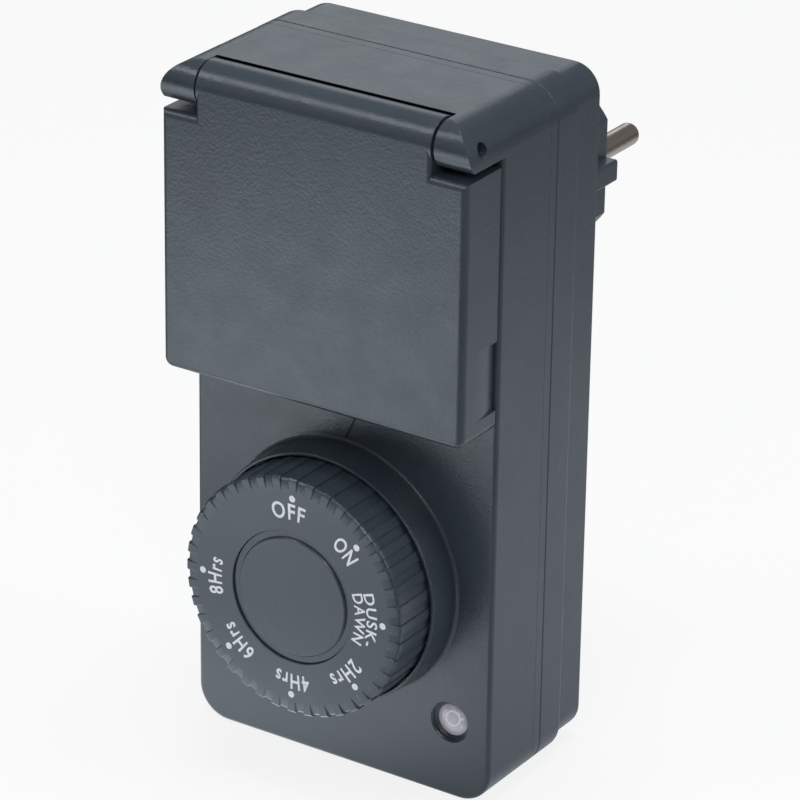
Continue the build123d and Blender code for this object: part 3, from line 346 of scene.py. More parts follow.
@dataclass(frozen=True)
class MouldedPlastic(Finish):
    """Injection-moulded plastic with the fine grain of a spark-eroded mould."""

    colour: Colour
    roughness: float
    unevenness: float = 0.04
    ior: float = 1.5
    mottling: float = 0.06
    cloud: Noise = Noise(22 * MM, 3.0)
    handling: Noise = Noise(7 * MM, 4.0, 0.6)
    grain: Noise = Noise(0.6 * MM, 1.0)
    grain_depth: float = 0.035 * MM
    wave: Noise = Noise(2.2 * MM)
    wave_depth: float = 0.02 * MM
    edge_radius: float = 0.15 * MM

    def dress(self, shader: Shader) -> None:
        """Set a mottled colour, gloss that handling has made uneven, and grain over waves."""
        cloud = shader.noise(self.cloud)
        dark, pale = tinted(self.colour, 1 - self.mottling), tinted(self.colour, 1 + self.mottling)
        shader.set_colour(cloud, NOISE_SPAN, dark, pale)
        shader.set_roughness(shader.noise(self.handling), self.roughness, self.unevenness)
        grain = shader.noise(self.grain)
        wave = shader.noise(self.wave)
        waves = shader.bump(wave, self.wave_depth, under=shader.soft_edges(self.edge_radius))
        shader.set("Normal", shader.bump(grain, self.grain_depth, under=waves))
        shader.set("IOR", self.ior)


@dataclass(frozen=True)
class PaleInk(Finish):
    """Pad-printed ink: nearly white, a little uneven where the film is thin."""

    colour: Colour = srgb(248, 250, 252)
    thin_tint: float = 0.86
    film: Noise = Noise(0.5 * MM, 4.0, 0.65)
    film_span: tuple[float, float] = (0.3, 0.6)
    film_depth: float = 0.005 * MM
    film_strength: float = 0.5
    roughness: float = 0.5
    unevenness: float = 0.06

    def dress(self, shader: Shader) -> None:
        """Set a film that is thin in places."""
        film = shader.noise(self.film)
        thin = tinted(self.colour, self.thin_tint)
        shader.set_colour(film, self.film_span, thin, self.colour)
        shader.set_roughness(film, self.roughness, self.unevenness)
        shader.set("Normal", shader.bump(film, self.film_depth, self.film_strength))


@dataclass(frozen=True)
class Translucent(Finish):
    """Smooth, cloudy lens plastic, glass or resin that lets a little light through."""

    colour: Colour
    roughness: float
    unevenness: float = 0.05
    dark_tint: float = 0.8
    pale_tint: float = 1.15
    cloud: Noise = Noise(2.2 * MM, 3.0, 0.6)
    clearness: float = 0.12
    ior: float = 1.49
    ripple: Noise = Noise(0.3 * MM)
    ripple_depth: float = 0.003 * MM
    ripple_strength: float = 0.6

    def dress(self, shader: Shader) -> None:
        """Set a cloudy, slightly clear body with a rippled surface."""
        cloud = shader.noise(self.cloud)
        dark, pale = tinted(self.colour, self.dark_tint), tinted(self.colour, self.pale_tint)
        shader.set_colour(cloud, NOISE_SPAN, dark, pale)
        shader.set_roughness(cloud, self.roughness, self.unevenness)
        shader.set("Transmission Weight", self.clearness)
        shader.set("IOR", self.ior)
        ripple = shader.noise(self.ripple)
        shader.set("Normal", shader.bump(ripple, self.ripple_depth, self.ripple_strength))


@dataclass(frozen=True)
class Metal(Finish):
    """Turned, drawn or stamped metal with fine tool lines and a little tarnish."""

    colour: Colour
    roughness: float
    tarnished_rougher: float = 0.08
    bright_smoother: float = 0.06
    tarnish: Colour = srgb(110, 98, 90)
    tarnish_share: float = 0.25
    tarnish_span: tuple[float, float] = (0.32, 0.6)
    cloud: Noise = Noise(3.5 * MM, 5.0, 0.65)
    lines: Noise = Noise(0.35 * MM, 1.0)
    line_depth: float = 0.0015 * MM
    line_strength: float = 0.8
    edge_radius: float = 0.12 * MM

    def dress(self, shader: Shader) -> None:
        """Set tarnish in patches, and tool lines over softened edges."""
        cloud = shader.noise(self.cloud)
        tarnished = blended(self.colour, self.tarnish, self.tarnish_share)
        shader.set_colour(cloud, self.tarnish_span, tarnished, self.colour)
        shader.set("Metallic", 1.0)
        dull, bright = self.roughness + self.tarnished_rougher, self.roughness - self.bright_smoother
        shader.set("Roughness", shader.spread(cloud, dull, bright))
        lines = shader.noise(self.lines)
        edges = shader.soft_edges(self.edge_radius)
        shader.set("Normal", shader.bump(lines, self.line_depth, self.line_strength, edges))


@dataclass(frozen=True)
class Rubber(Finish):
    """Soft seal rubber: matt, with a dusty bloom."""

    colour: Colour = srgb(38, 40, 42)
    bloom: Noise = Noise(4 * MM, 5.0, 0.7)
    bloom_tint: float = 1.7
    bloom_span: tuple[float, float] = (0.35, 0.75)
    roughness: float = 0.78
    unevenness: float = 0.08
    sheen: float = 0.15
    skin: Noise = Noise(0.25 * MM, 3.0)
    skin_depth: float = 0.012 * MM

    def dress(self, shader: Shader) -> None:
        """Set a dusty bloom on a rough skin."""
        bloom = shader.noise(self.bloom)
        dusty = tinted(self.colour, self.bloom_tint)
        shader.set_colour(bloom, self.bloom_span, self.colour, dusty)
        shader.set_roughness(bloom, self.roughness, self.unevenness)
        shader.set("Sheen Weight", self.sheen)
        shader.set("Normal", shader.bump(shader.noise(self.skin), self.skin_depth))


@dataclass(frozen=True)
class CircuitLaminate(Finish):
    """Green solder resist over copper, with the traces faintly raised."""

    resist: Colour = srgb(28, 84, 52)
    copper: Colour = srgb(62, 122, 70)
    cell: float = 7 * MM
    track_span: tuple[float, float] = (0.06, 0.09)
    track_depth: float = 0.03 * MM
    track_strength: float = 0.6
    cloud: Noise = Noise(2 * MM, 3.0)
    roughness: tuple[float, float] = (0.28, 0.4)

    def dress(self, shader: Shader) -> None:
        """Set copper tracks along the edges of angular cells."""
        cells = shader.node("ShaderNodeTexVoronoi", distance="MANHATTAN", feature="DISTANCE_TO_EDGE")
        shader.feed(cells, "Vector", shader.place)
        shader.feed(cells, "Scale", 1 / self.cell)
        tracks = cells.outputs["Distance"]
        shader.set_colour(tracks, self.track_span, self.copper, self.resist)
        shader.set("Roughness", shader.spread(shader.noise(self.cloud), *self.roughness))
        shader.set("Normal", shader.bump(tracks, self.track_depth, self.track_strength))


KNOB_GRAIN = Noise(0.45 * MM, 1.0)
LACQUER_GRAIN = Noise(0.8 * MM, 1.0)

# Each finish has the name of the record's material slot that it dresses.
FINISHES: tuple[Finish, ...] = (
    MouldedPlastic("housing_plastic", srgb(54, 62, 70), 0.3),
    MouldedPlastic("lid_plastic", srgb(56, 64, 72), 0.3),
    MouldedPlastic("knob_plastic", srgb(56, 65, 73), 0.3, grain=KNOB_GRAIN, grain_depth=0.02 * MM),
    MouldedPlastic("inner_plastic", srgb(196, 192, 182), 0.5),
    MouldedPlastic("relay_case", srgb(48, 70, 112), 0.4),
    MouldedPlastic("capacitor_case", srgb(178, 142, 60), 0.38),
    MouldedPlastic("capacitor_can", srgb(42, 46, 66), 0.3, grain_depth=0.004 * MM),
    MouldedPlastic("varistor_coat", srgb(44, 84, 140), 0.3, grain=LACQUER_GRAIN),
    MouldedPlastic("chip_resin", srgb(34, 35, 37), 0.55),
    Translucent("fuse_glass", srgb(208, 216, 214), 0.1),
    Translucent("lens_plastic", srgb(224, 217, 228), 0.22),
    Translucent("sensor_resin", srgb(190, 170, 140), 0.15),
    Rubber("seal_rubber"),
    Metal("plated_pins", srgb(194, 178, 166), 0.26),
    Metal("bare_steel", srgb(150, 152, 155), 0.32),
    Metal("spring_steel", srgb(170, 171, 172), 0.24),
    Metal("contact_brass", srgb(206, 172, 98), 0.3),
    Metal("earth_strip", srgb(196, 194, 186), 0.3),
    CircuitLaminate("board_laminate"),
)


class Paintbox:
    """Every finish, built once and shared by the pieces that use it."""

    def __init__(self) -> None:
        """Build the materials."""
        self.materials: dict[str, bpy.types.Material] = {}
        for finish in FINISHES:
            self.materials[finish.name] = finish.material()
        self.ink = PaleInk("dial_ink").material()

    def paint(self, piece: bpy.types.Object, name: str) -> None:
        """Put one finish on a whole piece.

        Args:
            piece: A mesh object.
            name: The finish's name.
        """
        material = self.materials[name]
        if not piece.material_slots:
            piece.data.materials.append(material)
        for holder in piece.material_slots:
            holder.material = material


# Mesh building

# Distances under which the joins between copies, points that coincide, and edges without length close up.
COPY_JOIN = 0.002 * MM
POINT_JOIN = 0.001 * MM
EMPTY_EDGE = 0.0005 * MM


def new_object(name: str, data: bpy.types.ID) -> bpy.types.Object:
    """Make an object and link it to the scene.

    Args:
        name: The object's name.
        data: Its mesh, curve, lamp or camera data.

    Returns:
        The object.
    """
    made = bpy.data.objects.new(name, data)
    bpy.context.scene.collection.objects.link(made)
    return made


def mesh_piece(
    name: str, points: Sequence[Point], faces: Sequence[Face], material: bpy.types.Material
) -> bpy.types.Object:
    """Make a mesh object whose place is in its points.

    Args:
        name: The piece's name.
        points: Corners in metres.
        faces: Corner numbers of each face, in order round it.
        material: Its finish.

    Returns:
        The linked object.
    """
    mesh = bpy.data.meshes.new(name)
    mesh.from_pydata([tuple(point) for point in points], [], [tuple(face) for face in faces])
    mesh.materials.append(material)
    mesh.validate()
    return new_object(name, mesh)


def hoop(name: str, sections: Sequence[Sequence[Point]], material: bpy.types.Material) -> bpy.types.Object:
    """Make a closed hoop from sections that follow each other all round.

    Args:
        name: The piece's name.
        sections: Rows of points in metres, each row as long as the others.
        material: Its finish.

    Returns:
        The linked object.
    """
    steps, corners = len(sections), len(sections[0])
    points = [point for section in sections for point in section]
    faces = []
    for number in range(steps):
        start, after = number * corners, (number + 1) % steps * corners
        for corner in range(corners):
            beside = (corner + 1) % corners
            faces.append((start + corner, after + corner, after + beside, start + beside))
    return mesh_piece(name, points, faces, material)


def turns(steps: int) -> list[float]:
    """Evenly spaced angles all round, in radians."""
    return [2 * math.pi * number / steps for number in range(steps)]


def polar(radius: float, turn: float, depth: float = 0.0) -> Vector:
    """The point at a radius and a depth, turned clockwise from the top as seen from the front."""
    return Vector((radius * math.sin(turn), depth, radius * math.cos(turn)))


def baked_mesh(piece: bpy.types.Object) -> bpy.types.Mesh:
    """The plain mesh of an object as its modifiers, or its type, make it."""
    bpy.context.view_layer.update()
    return bpy.data.meshes.new_from_object(piece.evaluated_get(bpy.context.evaluated_depsgraph_get()))


def bake(piece: bpy.types.Object) -> None:
    """Swap a mesh object's modifiers for the mesh that they make.

    Args:
        piece: A mesh object with modifiers.
    """
    plain, old = baked_mesh(piece), piece.data
    piece.modifiers.clear()
    piece.data = plain
    plain.name = piece.name
    bpy.data.meshes.remove(old)


def close_up(piece: bpy.types.Object) -> None:
    """Join points that coincide, drop empty faces, and turn the faces outward.

    Args:
        piece: A closed mesh object.
    """
    net = bmesh.new()
    net.from_mesh(piece.data)
    bmesh.ops.remove_doubles(net, verts=net.verts, dist=POINT_JOIN)
    bmesh.ops.dissolve_degenerate(net, edges=net.edges, dist=EMPTY_EDGE)
    bmesh.ops.recalc_face_normals(net, faces=net.faces)
    net.to_mesh(piece.data)
    net.free()


def soften(piece: bpy.types.Object, angle: float = 32.0) -> None:
    """Shade a piece smooth except across its sharp edges.

    Args:
        piece: A mesh object.
        angle: The smallest angle that stays sharp, in degrees.
    """
    piece.data.shade_smooth()
    piece.data.set_sharp_from_angle(angle=math.radians(angle))


class NodeGroup(NodeTree):
    """A Geometry Nodes tree under construction."""

    def __init__(self, name: str) -> None:
        """Start a tree with a geometry input and output.

        Args:
            name: The tree's name.
        """
        super().__init__(bpy.data.node_groups.new(name, "GeometryNodeTree"))
        for way in ("INPUT", "OUTPUT"):
            self.tree.interface.new_socket("Geometry", in_out=way, socket_type="NodeSocketGeometry")
        self.inputs: dict[str, str] = {}
        self.entry: bpy.types.Node | None = None

    def socket(self, name: str, kind: str) -> None:
        """Declare a named input of the tree.

        Args:
            name: The input's name.
            kind: The socket's type name.
        """
        made = self.tree.interface.new_socket(name, in_out="INPUT", socket_type=kind)
        self.inputs[name] = made.identifier

    def given(self, name: str) -> bpy.types.NodeSocket:
        """The output socket that carries one of the tree's inputs."""
        if self.entry is None:
            self.entry = self.node("NodeGroupInput")
        return self.entry.outputs[name]

    def finish(self, geometry: bpy.types.NodeSocket) -> None:
        """End the tree: real geometry, joins closed, finish set.

        Args:
            geometry: What the tree has made.
        """
        real = self.node("GeometryNodeRealizeInstances")
        self.feed(real, "Geometry", geometry)
        merged = self.node("GeometryNodeMergeByDistance")
        self.feed(merged, "Geometry", real.outputs["Geometry"])
        self.feed(merged, "Distance", COPY_JOIN)
        dressed = self.node("GeometryNodeSetMaterial")
        self.feed(dressed, "Geometry", merged.outputs["Geometry"])
        self.feed(dressed, "Material", self.given("Finish"))
        self.feed(self.node("NodeGroupOutput"), "Geometry", dressed.outputs["Geometry"])

    def attach(self, piece: bpy.types.Object, values: dict[str, object]) -> None:
        """Run the tree on a piece.

        Args:
            piece: The object whose mesh it starts from.
            values: A value for each named input.
        """
        modifier = piece.modifiers.new(self.tree.name, "NODES")
        modifier.node_group = self.tree
        for name, value in values.items():
            modifier[self.inputs[name]] = value


def turned_copies() -> NodeGroup:
    """A tree that repeats a sector round an axis parallel to Y.

    Returns:
        The tree, with inputs Count, Step, Centre and Finish.
    """
    group = NodeGroup("turned_copies")
    for name, kind in (("Count", "Int"), ("Step", "Float"), ("Centre", "Vector"), ("Finish", "Material")):
        group.socket(name, "NodeSocket" + kind)
    spots = group.node("GeometryNodePoints")
    group.feed(spots, "Count", group.given("Count"))
    group.feed(spots, "Position", group.given("Centre"))
    angle = group.node("ShaderNodeMath", operation="MULTIPLY")
    group.feed(angle, 0, group.node("GeometryNodeInputIndex").outputs["Index"])
    group.feed(angle, 1, group.given("Step"))
    turn = group.node("FunctionNodeAxisAngleToRotation")
    group.feed(turn, "Axis", (0, 1, 0))
    group.feed(turn, "Angle", angle.outputs["Value"])
    copies = group.node("GeometryNodeInstanceOnPoints")
    group.feed(copies, "Points", spots.outputs["Points"])
    group.feed(copies, "Instance", group.given("Geometry"))
    group.feed(copies, "Rotation", turn.outputs["Rotation"])
    group.finish(copies.outputs["Instances"])
    return group


# Sub-assemblies


@dataclass
class Dial:
    """The programme dial: a knob with a notched grip and a recess for its cap, and its printed positions.

    Ribs and grooves take turns round the rim, with a narrow step between them. The edge is the slope
    between face and rim, and the face's grooves start a face run inside the rim. The skirt is the wall
    of the hollow knob, and the hub the thick ring round its bore. Angles are in degrees.
    """

    paint: Paintbox
    ribs: int = 40
    rib_share: float = 0.5
    step_angle: float = 0.3
    groove: float = 0.32 * MM
    face_groove: float = 0.3 * MM
    face_run: float = 2.6 * MM
    edge: float = 0.5 * MM
    edge_soft: float = 0.1 * MM
    edge_run: float = 1.5 * MM
    lip: float = 0.12 * MM
    cap_hole: float = 14.0 * MM
    cap_depth: float = 1.4 * MM
    face_plate: float = 3.0 * MM
    skirt: float = 2.6 * MM
    hub: float = 5.0 * MM
    bore: float = 3.05 * MM
    sharp_angle: float = 24.0
    print_height: float = 0.03 * MM
    print_sunk: float = 0.02 * MM
    positions: int = 7
    position_angle: float = 45.0
    dot_radius: float = 0.7 * MM
    dot_ring: float = 21.15 * MM
    dot_corners: int = 20
    centre: Vector = field(init=False)
    front: float = field(init=False)
    back: float = field(init=False)
    radius: float = field(init=False)

    def __post_init__(self) -> None:
        """Take the knob's place and size from its solid."""
        low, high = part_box("dial_knob")
        self.centre = Vector(((low.x + high.x) / 2, 0, (low.z + high.z) / 2))
        self.front, self.back = low.y + self.print_height, high.y
        self.radius = (high.z - low.z) / 2

    @property
    def print_depths(self) -> tuple[float, float]:
        """The front of the print, and its back just under the face."""
        return self.front - self.print_height, self.front + self.print_sunk

    def profile(self) -> list[tuple[float, float, float, float]]:
        """The knob's closed section from axis to axis, on a rib and in a groove.

        Returns:
            Rows of a rib's radius and depth and a groove's radius and depth, in metres.
        """
        face, back, rim, lip = self.front, self.back, self.radius, self.lip
        floor = face + self.cap_depth
        under = face + self.face_plate
        inner = rim - self.skirt
        inside = [
            (0.0, floor),
            (self.cap_hole - lip, floor),
            (self.cap_hole, floor - lip),
            (self.cap_hole, face + lip),
            (self.cap_hole + lip, face),
            (rim - self.face_run - lip, face),
            (rim - self.face_run, face),
        ]
        bevel = [
            (self.edge + self.edge_soft, 0.0),
            (self.edge - self.edge_soft, self.edge_soft / 2),
            (self.edge_soft / 2, self.edge - self.edge_soft),
            (0.0, self.edge + self.edge_soft),
            (0.0, self.edge_run),
        ]
        grip = [
            (rim - across, face + deep, rim - self.groove - across, face + self.face_groove + deep)
            for across, deep in bevel
        ]
        grip.append((rim, back, rim - self.groove, back))
        outside = [
            (inner, back),
            (inner, under),
            (self.hub, under),
            (self.hub, back),
            (self.bore, back),
            (self.bore, under),
            (0.0, under),
        ]
        return [(*row, *row) for row in inside] + grip + [(*row, *row) for row in outside]

    def sector(self) -> tuple[list[Point], list[Face]]:
        """One flat-topped rib of the knob with half a flat groove on each side, about the axis.

        Returns:
            Its points and faces.
        """
        half = 180 / self.ribs
        rib = half * self.rib_share - self.step_angle / 2
        groove = rib + self.step_angle
        angles = [-half, -groove, -rib, -rib / 2, 0.0, rib / 2, rib, groove, half]
        profile = self.profile()
        points, faces = [], []
        for rib_radius, rib_depth, groove_radius, groove_depth in profile:
            for angle in angles:
                in_groove = abs(angle) >= groove
                radius, depth = (groove_radius, groove_depth) if in_groove else (rib_radius, rib_depth)
                # The radius follows a chord instead of an arc, which keeps ribs and grooves flat.
                middle, reach = (half, half - groove) if in_groove else (0.0, rib)
                flat = math.cos(math.radians(reach)) / math.cos(math.radians(abs(abs(angle) - middle)))
                points.append(polar(radius * flat, math.radians(angle), depth))
        wide = len(angles)
        for row in range(len(profile) - 1):
            for column in range(wide - 1):
                start = row * wide + column
                faces.append((start, start + 1, start + wide + 1, start + wide))
        return points, faces

    def build_knob(self, copies: NodeGroup) -> bpy.types.Object:
        """Repeat the sector all round, in place of the plain solid.

        Args:
            copies: The tree that repeats it.

        Returns:
            The knob.
        """
        points, faces = self.sector()
        finish = self.paint.materials[Slot.KNOB.value]
        knob = mesh_piece("dial_grip_knob", points, faces, finish)
        step = math.radians(360 / self.ribs)
        copies.attach(knob, {"Count": self.ribs, "Step": step, "Centre": self.centre, "Finish": finish})
        bake(knob)
        close_up(knob)
        soften(knob, self.sharp_angle)
        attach(knob, Body.DIAL.value)
        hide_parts("dial_knob")
        return knob

    def build_dots(self, copies: NodeGroup) -> bpy.types.Object:
        """Print one raised dot of ink for each position.

        Args:
            copies: The tree that repeats the first dot.

        Returns:
            All the dots as one piece.
        """
        rim, ink = self.dot_corners, self.paint.ink
        front, back = (Vector((0, depth, self.dot_ring)) for depth in self.print_depths)
        points = [front]
        for middle in (front, back):
            points += [middle + polar(self.dot_radius, turn) for turn in turns(rim)]
        # A fan of faces in front, a wall round it, and one face behind.
        faces = []
        for number in range(rim):
            after = (number + 1) % rim
            faces.append((0, 1 + after, 1 + number))
            faces.append((1 + number, 1 + after, 1 + rim + after, 1 + rim + number))
        faces.append(tuple(range(1 + rim, 1 + 2 * rim)))
        dots = mesh_piece("dial_dots", points, faces, ink)
        step = math.radians(self.position_angle)
        copies.attach(dots, {"Count": self.positions, "Step": step, "Centre": self.centre, "Finish": ink})
        bake(dots)
        close_up(dots)
        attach(dots, Body.DIAL.value)
        return dots

    def build(self) -> list[bpy.types.Object]:
        """Build the knob, its dots and its lettering.

        Returns:
            The new pieces.
        """
        copies = turned_copies()
        made = [self.build_knob(copies), self.build_dots(copies)]
        return made + [word.build(self) for word in DIAL_WORDS]


@dataclass(frozen=True)
class DialWord:
    """One word printed round the dial, reading clockwise with its tops outward.

    Its angle is that of its middle, clockwise from the top, and its span is how far round it reaches,
    both in degrees. Its foot is the radius that its letters stand on, and its cap is their height. The
    weight, which thickens the strokes, and the half thickness are in letter units.
    """

    name: str
    text: str
    angle: float
    span: float
    foot: float
    cap: float
    weight: float = 0.018
    half_thickness: float = 0.01
    letter_spacing: float = 1.2
    curve_steps: int = 5

    def flat(self, text: str) -> bpy.types.Mesh:
        """Set a text in this word's type, as a thin flat mesh.

        Args:
            text: The letters.

        Returns:
            The mesh in letter units, with its front at positive Z.
        """
        curve = bpy.data.curves.new("word", "FONT")
        curve.body = text
        curve.offset = self.weight
        curve.space_character = self.letter_spacing
        curve.extrude = self.half_thickness
        curve.resolution_u = self.curve_steps
        holder = new_object("word", curve)
        mesh = baked_mesh(holder)
        bpy.data.objects.remove(holder)
        bpy.data.curves.remove(curve)
        return mesh

    def cap_height(self) -> float:
        """Measure the height of the capitals on an upright H.

        Returns:
            The height in letter units.
        """
        mesh = self.flat("H")
        tall = max(vertex.co.y for vertex in mesh.vertices)
        bpy.data.meshes.remove(mesh)
        return tall

    def build(self, dial: Dial) -> bpy.types.Object:
        """Set the word in type and bend it round the dial.

        Args:
            dial: The dial that carries it.

        Returns:
            The word's piece.
        """
        mesh = self.flat(self.text)
        across = [vertex.co.x for vertex in mesh.vertices]
        left, right = min(across), max(across)
        tall = self.cap_height()
        middle, span = math.radians(self.angle), math.radians(self.span)
        top, bottom = dial.print_depths
        for vertex in mesh.vertices:
            turn = middle + ((vertex.co.x - left) / (right - left) - 0.5) * span
            reach = self.foot + vertex.co.y / tall * self.cap
            vertex.co = dial.centre + polar(reach, turn, top if vertex.co.z > 0 else bottom)
        mesh.materials.clear()
        mesh.materials.append(dial.paint.ink)
        word = new_object(f"dial_word_{self.name}", mesh)
        close_up(word)
        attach(word, Body.DIAL.value)
        return word


DIAL_WORDS = (
    DialWord("off", "OFF", -2.8, 24.0, 16.7 * MM, 3.3 * MM),
    DialWord("on", "ON", 42.5, 17.0, 16.7 * MM, 3.3 * MM),
    DialWord("dusk", "DUSK-", 89.0, 35.2, 17.55 * MM, 2.35 * MM),
    DialWord("dawn", "DAWN", 90.2, 38.6, 14.85 * MM, 2.35 * MM),
    DialWord("two", "2Hrs", 135.2, 25.0, 16.7 * MM, 3.2 * MM),
    DialWord("four", "4Hrs", 179.1, 25.0, 16.7 * MM, 3.2 * MM),
    DialWord("six", "6Hrs", 223.9, 25.0, 16.7 * MM, 3.2 * MM),
    DialWord("eight", "8Hrs", 268.9, 25.0, 16.7 * MM, 3.2 * MM),
)


@dataclass(frozen=True)
class SensorRay:
    """One short ray round the sensor's ring: degrees clockwise from the top, both ends, and its width."""

    angle: float
    start: float
    end: float
    width: float


@dataclass
class LightSensor:
    """The sensor's surround, and the symbol on its domed cover: a ring with short rays."""

    paint: Paintbox
    dome_rise: float = 0.9 * MM
    dome_radius: float = 3.35 * MM
    hole_radius: float = 4.03 * MM
    surround_rise: float = 0.6 * MM
    surround_wall: float = 0.3 * MM
    ring_radius: float = 1.5 * MM
    ring_shift: float = 0.41 * MM
    ring_rise: float = 0.7 * MM
    line: float = 0.42 * MM
    line_top_share: float = 0.8
    film: float = 0.03 * MM
    rays: tuple[SensorRay, ...] = (
        SensorRay(83.0, 1.62 * MM, 2.2 * MM, 0.46 * MM),
        SensorRay(272.0, 2.0 * MM, 2.35 * MM, 0.3 * MM),
        SensorRay(131.0, 2.2 * MM, 2.7 * MM, 0.24 * MM),
    )
    steps: int = 64

    @property
    def ball(self) -> float:
        """The radius of the ball that the dome is a slice of."""
        return (self.dome_radius**2 + self.dome_rise**2) / (2 * self.dome_rise)

    def behind(self, depth: float) -> Vector:
        """The point that lies a depth behind the top of the dome."""
        low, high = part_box("sensor_lens")
        return Vector(((low.x + high.x) / 2, low.y + depth, (low.z + high.z) / 2))

    def on_dome(self, x: float, z: float, lift: float) -> Vector:
        """A point on or just over the dome.

        Args:
            x: Distance to the right of the ring's middle, in metres.
            z: Distance above it.
            lift: Height over the surface.

        Returns:
            The point.
        """
        side = Vector((x + self.ring_shift, 0, z + self.ring_rise))
        outward = Vector((0, -math.sqrt(self.ball**2 - side.length_squared), 0)) + side
        return self.behind(self.ball) + outward * ((self.ball + lift) / self.ball)

    def build_surround(self) -> bpy.types.Object:
        """Build the sloping collar between the hole's wall and the dome's foot.

        Returns:
            The collar.
        """
        middle = self.behind(self.dome_rise)
        inner, outer = self.dome_radius, self.hole_radius
        rise, wall = self.surround_rise, self.surround_wall
        section = [(inner, 0.0), (outer, -rise), (outer, wall - rise), (inner, wall)]
        sections = [
            [middle + polar(radius, turn, depth) for radius, depth in section] for turn in turns(self.steps)
        ]
        collar = hoop("sensor_surround", sections, self.paint.materials[Slot.HOUSING.value])
        soften(collar)
        return self.seat(collar)

    def build_ring(self) -> bpy.types.Object:
        """Build the ring as a thin band of ink on the dome.

        Returns:
            The ring.
        """
        edge, film = self.line / 2, self.film
        top = edge * self.line_top_share
        section = [(-edge, 0.0), (-top, film), (top, film), (edge, 0.0), (top, -film), (-top, -film)]
        sections = []
        for turn in turns(self.steps):
            right, up = math.sin(turn), math.cos(turn)
            reaches = [(self.ring_radius + across, lift) for across, lift in section]
            sections.append([self.on_dome(reach * right, reach * up, lift) for reach, lift in reaches])
        return self.seat(hoop("sensor_ring", sections, self.paint.ink))

    def build_ray(self, number: int, ray: SensorRay) -> bpy.types.Object:
        """Build one short ray outside the ring.

        Args:
            number: Its number, for its name.
            ray: Its place and size.

        Returns:
            The ray's piece.
        """
        turn = math.radians(ray.angle)
        out = polar(1.0, turn)
        across = Vector((math.cos(turn), 0, -math.sin(turn)))
        points = []
        for lift in (self.film, -self.film):
            for reach in (ray.start, ray.end):
                for side in (-ray.width / 2, ray.width / 2):
                    spot = out * reach + across * side
                    points.append(self.on_dome(spot.x, spot.z, lift))
        faces = [(0, 1, 3, 2), (4, 6, 7, 5), (0, 4, 5, 1), (2, 3, 7, 6), (0, 2, 6, 4), (1, 5, 7, 3)]
        return self.seat(mesh_piece(f"sensor_ray_{number}", points, faces, self.paint.ink))

    def seat(self, piece: bpy.types.Object) -> bpy.types.Object:
        """Close a piece and fix it to the housing.

        Args:
            piece: A piece of the sensor.

        Returns:
            The same piece.
        """
        close_up(piece)
        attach(piece, Body.HOUSING.value)
        return piece

    def build(self) -> list[bpy.types.Object]:
        """Build the surround, the ring and its rays.

        Returns:
            The new pieces.
        """
        rays = [self.build_ray(number, ray) for number, ray in enumerate(self.rays)]
        return [self.build_surround(), self.build_ring(), *rays]


@dataclass
class SeamShadeLine:
    """A dark band of seal rubber between the two shells: the seal's edge, and painted shade for the groove's
    shadow.
    """

    paint: Paintbox
    corner: float = 7.0 * MM
    corner_steps: int = 12
    sunk: float = 0.12 * MM
    half_width: float = 0.2 * MM
    thickness: float = 0.3 * MM

    def outline(self, inset: float) -> list[tuple[float, float]]:
        """The housing's rounded outline as seen from the front, drawn inward.

        Args:
            inset: How far inside the housing's sides it lies, in metres.

        Returns:
            Points across and up, in order round the outline.
        """
        low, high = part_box("rear_shell")
        reach = self.corner - inset
        corners = ((high.x, high.z), (low.x, high.z), (low.x, low.z), (high.x, low.z))
        points = []
        for corner, (x, z) in enumerate(corners):
            middle_x = x - self.corner if x == high.x else x + self.corner
            middle_z = z - self.corner if z == high.z else z + self.corner
            for step in range(self.corner_steps + 1):
                turn = math.radians(90 * (corner + step / self.corner_steps))
                points.append((middle_x + reach * math.cos(turn), middle_z + reach * math.sin(turn)))
        return points

    def build(self) -> list[bpy.types.Object]:
        """Build the dark band, seal edge and painted groove shade, as a closed band in the groove between
        the shells.

        Returns:
            The new piece.
        """
        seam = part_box("rear_shell")[0].y
        front, back = seam - self.half_width, seam + self.half_width
        outer, inner = self.outline(self.sunk), self.outline(self.sunk + self.thickness)
        sections = [
            [(x, front, z), (x, back, z), (x_inside, back, z_inside), (x_inside, front, z_inside)]
            for (x, z), (x_inside, z_inside) in zip(outer, inner)
        ]
        # Dark seal rubber: partly the seal's real edge, partly painted shade for the shadow in the seam
        # groove.
        band = hoop("seam_shade_line", sections, self.paint.materials[Slot.SEAL.value])
        close_up(band)
        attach(band, Body.HOUSING.value)
        return [band]


@dataclass
class SolidParts:
    """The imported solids, each in the finish of its material slot."""

    paint: Paintbox

    def build(self) -> list[bpy.types.Object]:
        """Dress every solid.

        Returns:
            The dressed objects.
        """
        dressed = []
        for row in frame["record"]["subparts"]:
            piece = frame["nodes"][row["node"]]
            self.paint.paint(piece, row["material_slot"])
            dressed.append(piece)
        return dressed


# Studio


@dataclass(frozen=True)
class GlowPool:
    """A round patch of floor that is bright in reflections: full inside, fading to nothing outside."""

    centre: tuple[float, float]
    inside: float
    outside: float
    strength: float

    def brightness(self, shader: Shader) -> bpy.types.NodeSocket:
        """Work the patch's brightness out.

        Args:
            shader: The floor's shader.

        Returns:
            The brightness at each place of the floor.
        """
        apart = shader.node("ShaderNodeVectorMath", operation="DISTANCE")
        shader.feed(apart, 0, shader.place)
        shader.feed(apart, 1, (*self.centre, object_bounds()[0].z))
        fade = (self.inside, self.outside)
        return shader.spread(apart.outputs["Value"], self.strength, 0.0, fade, "SMOOTHSTEP")


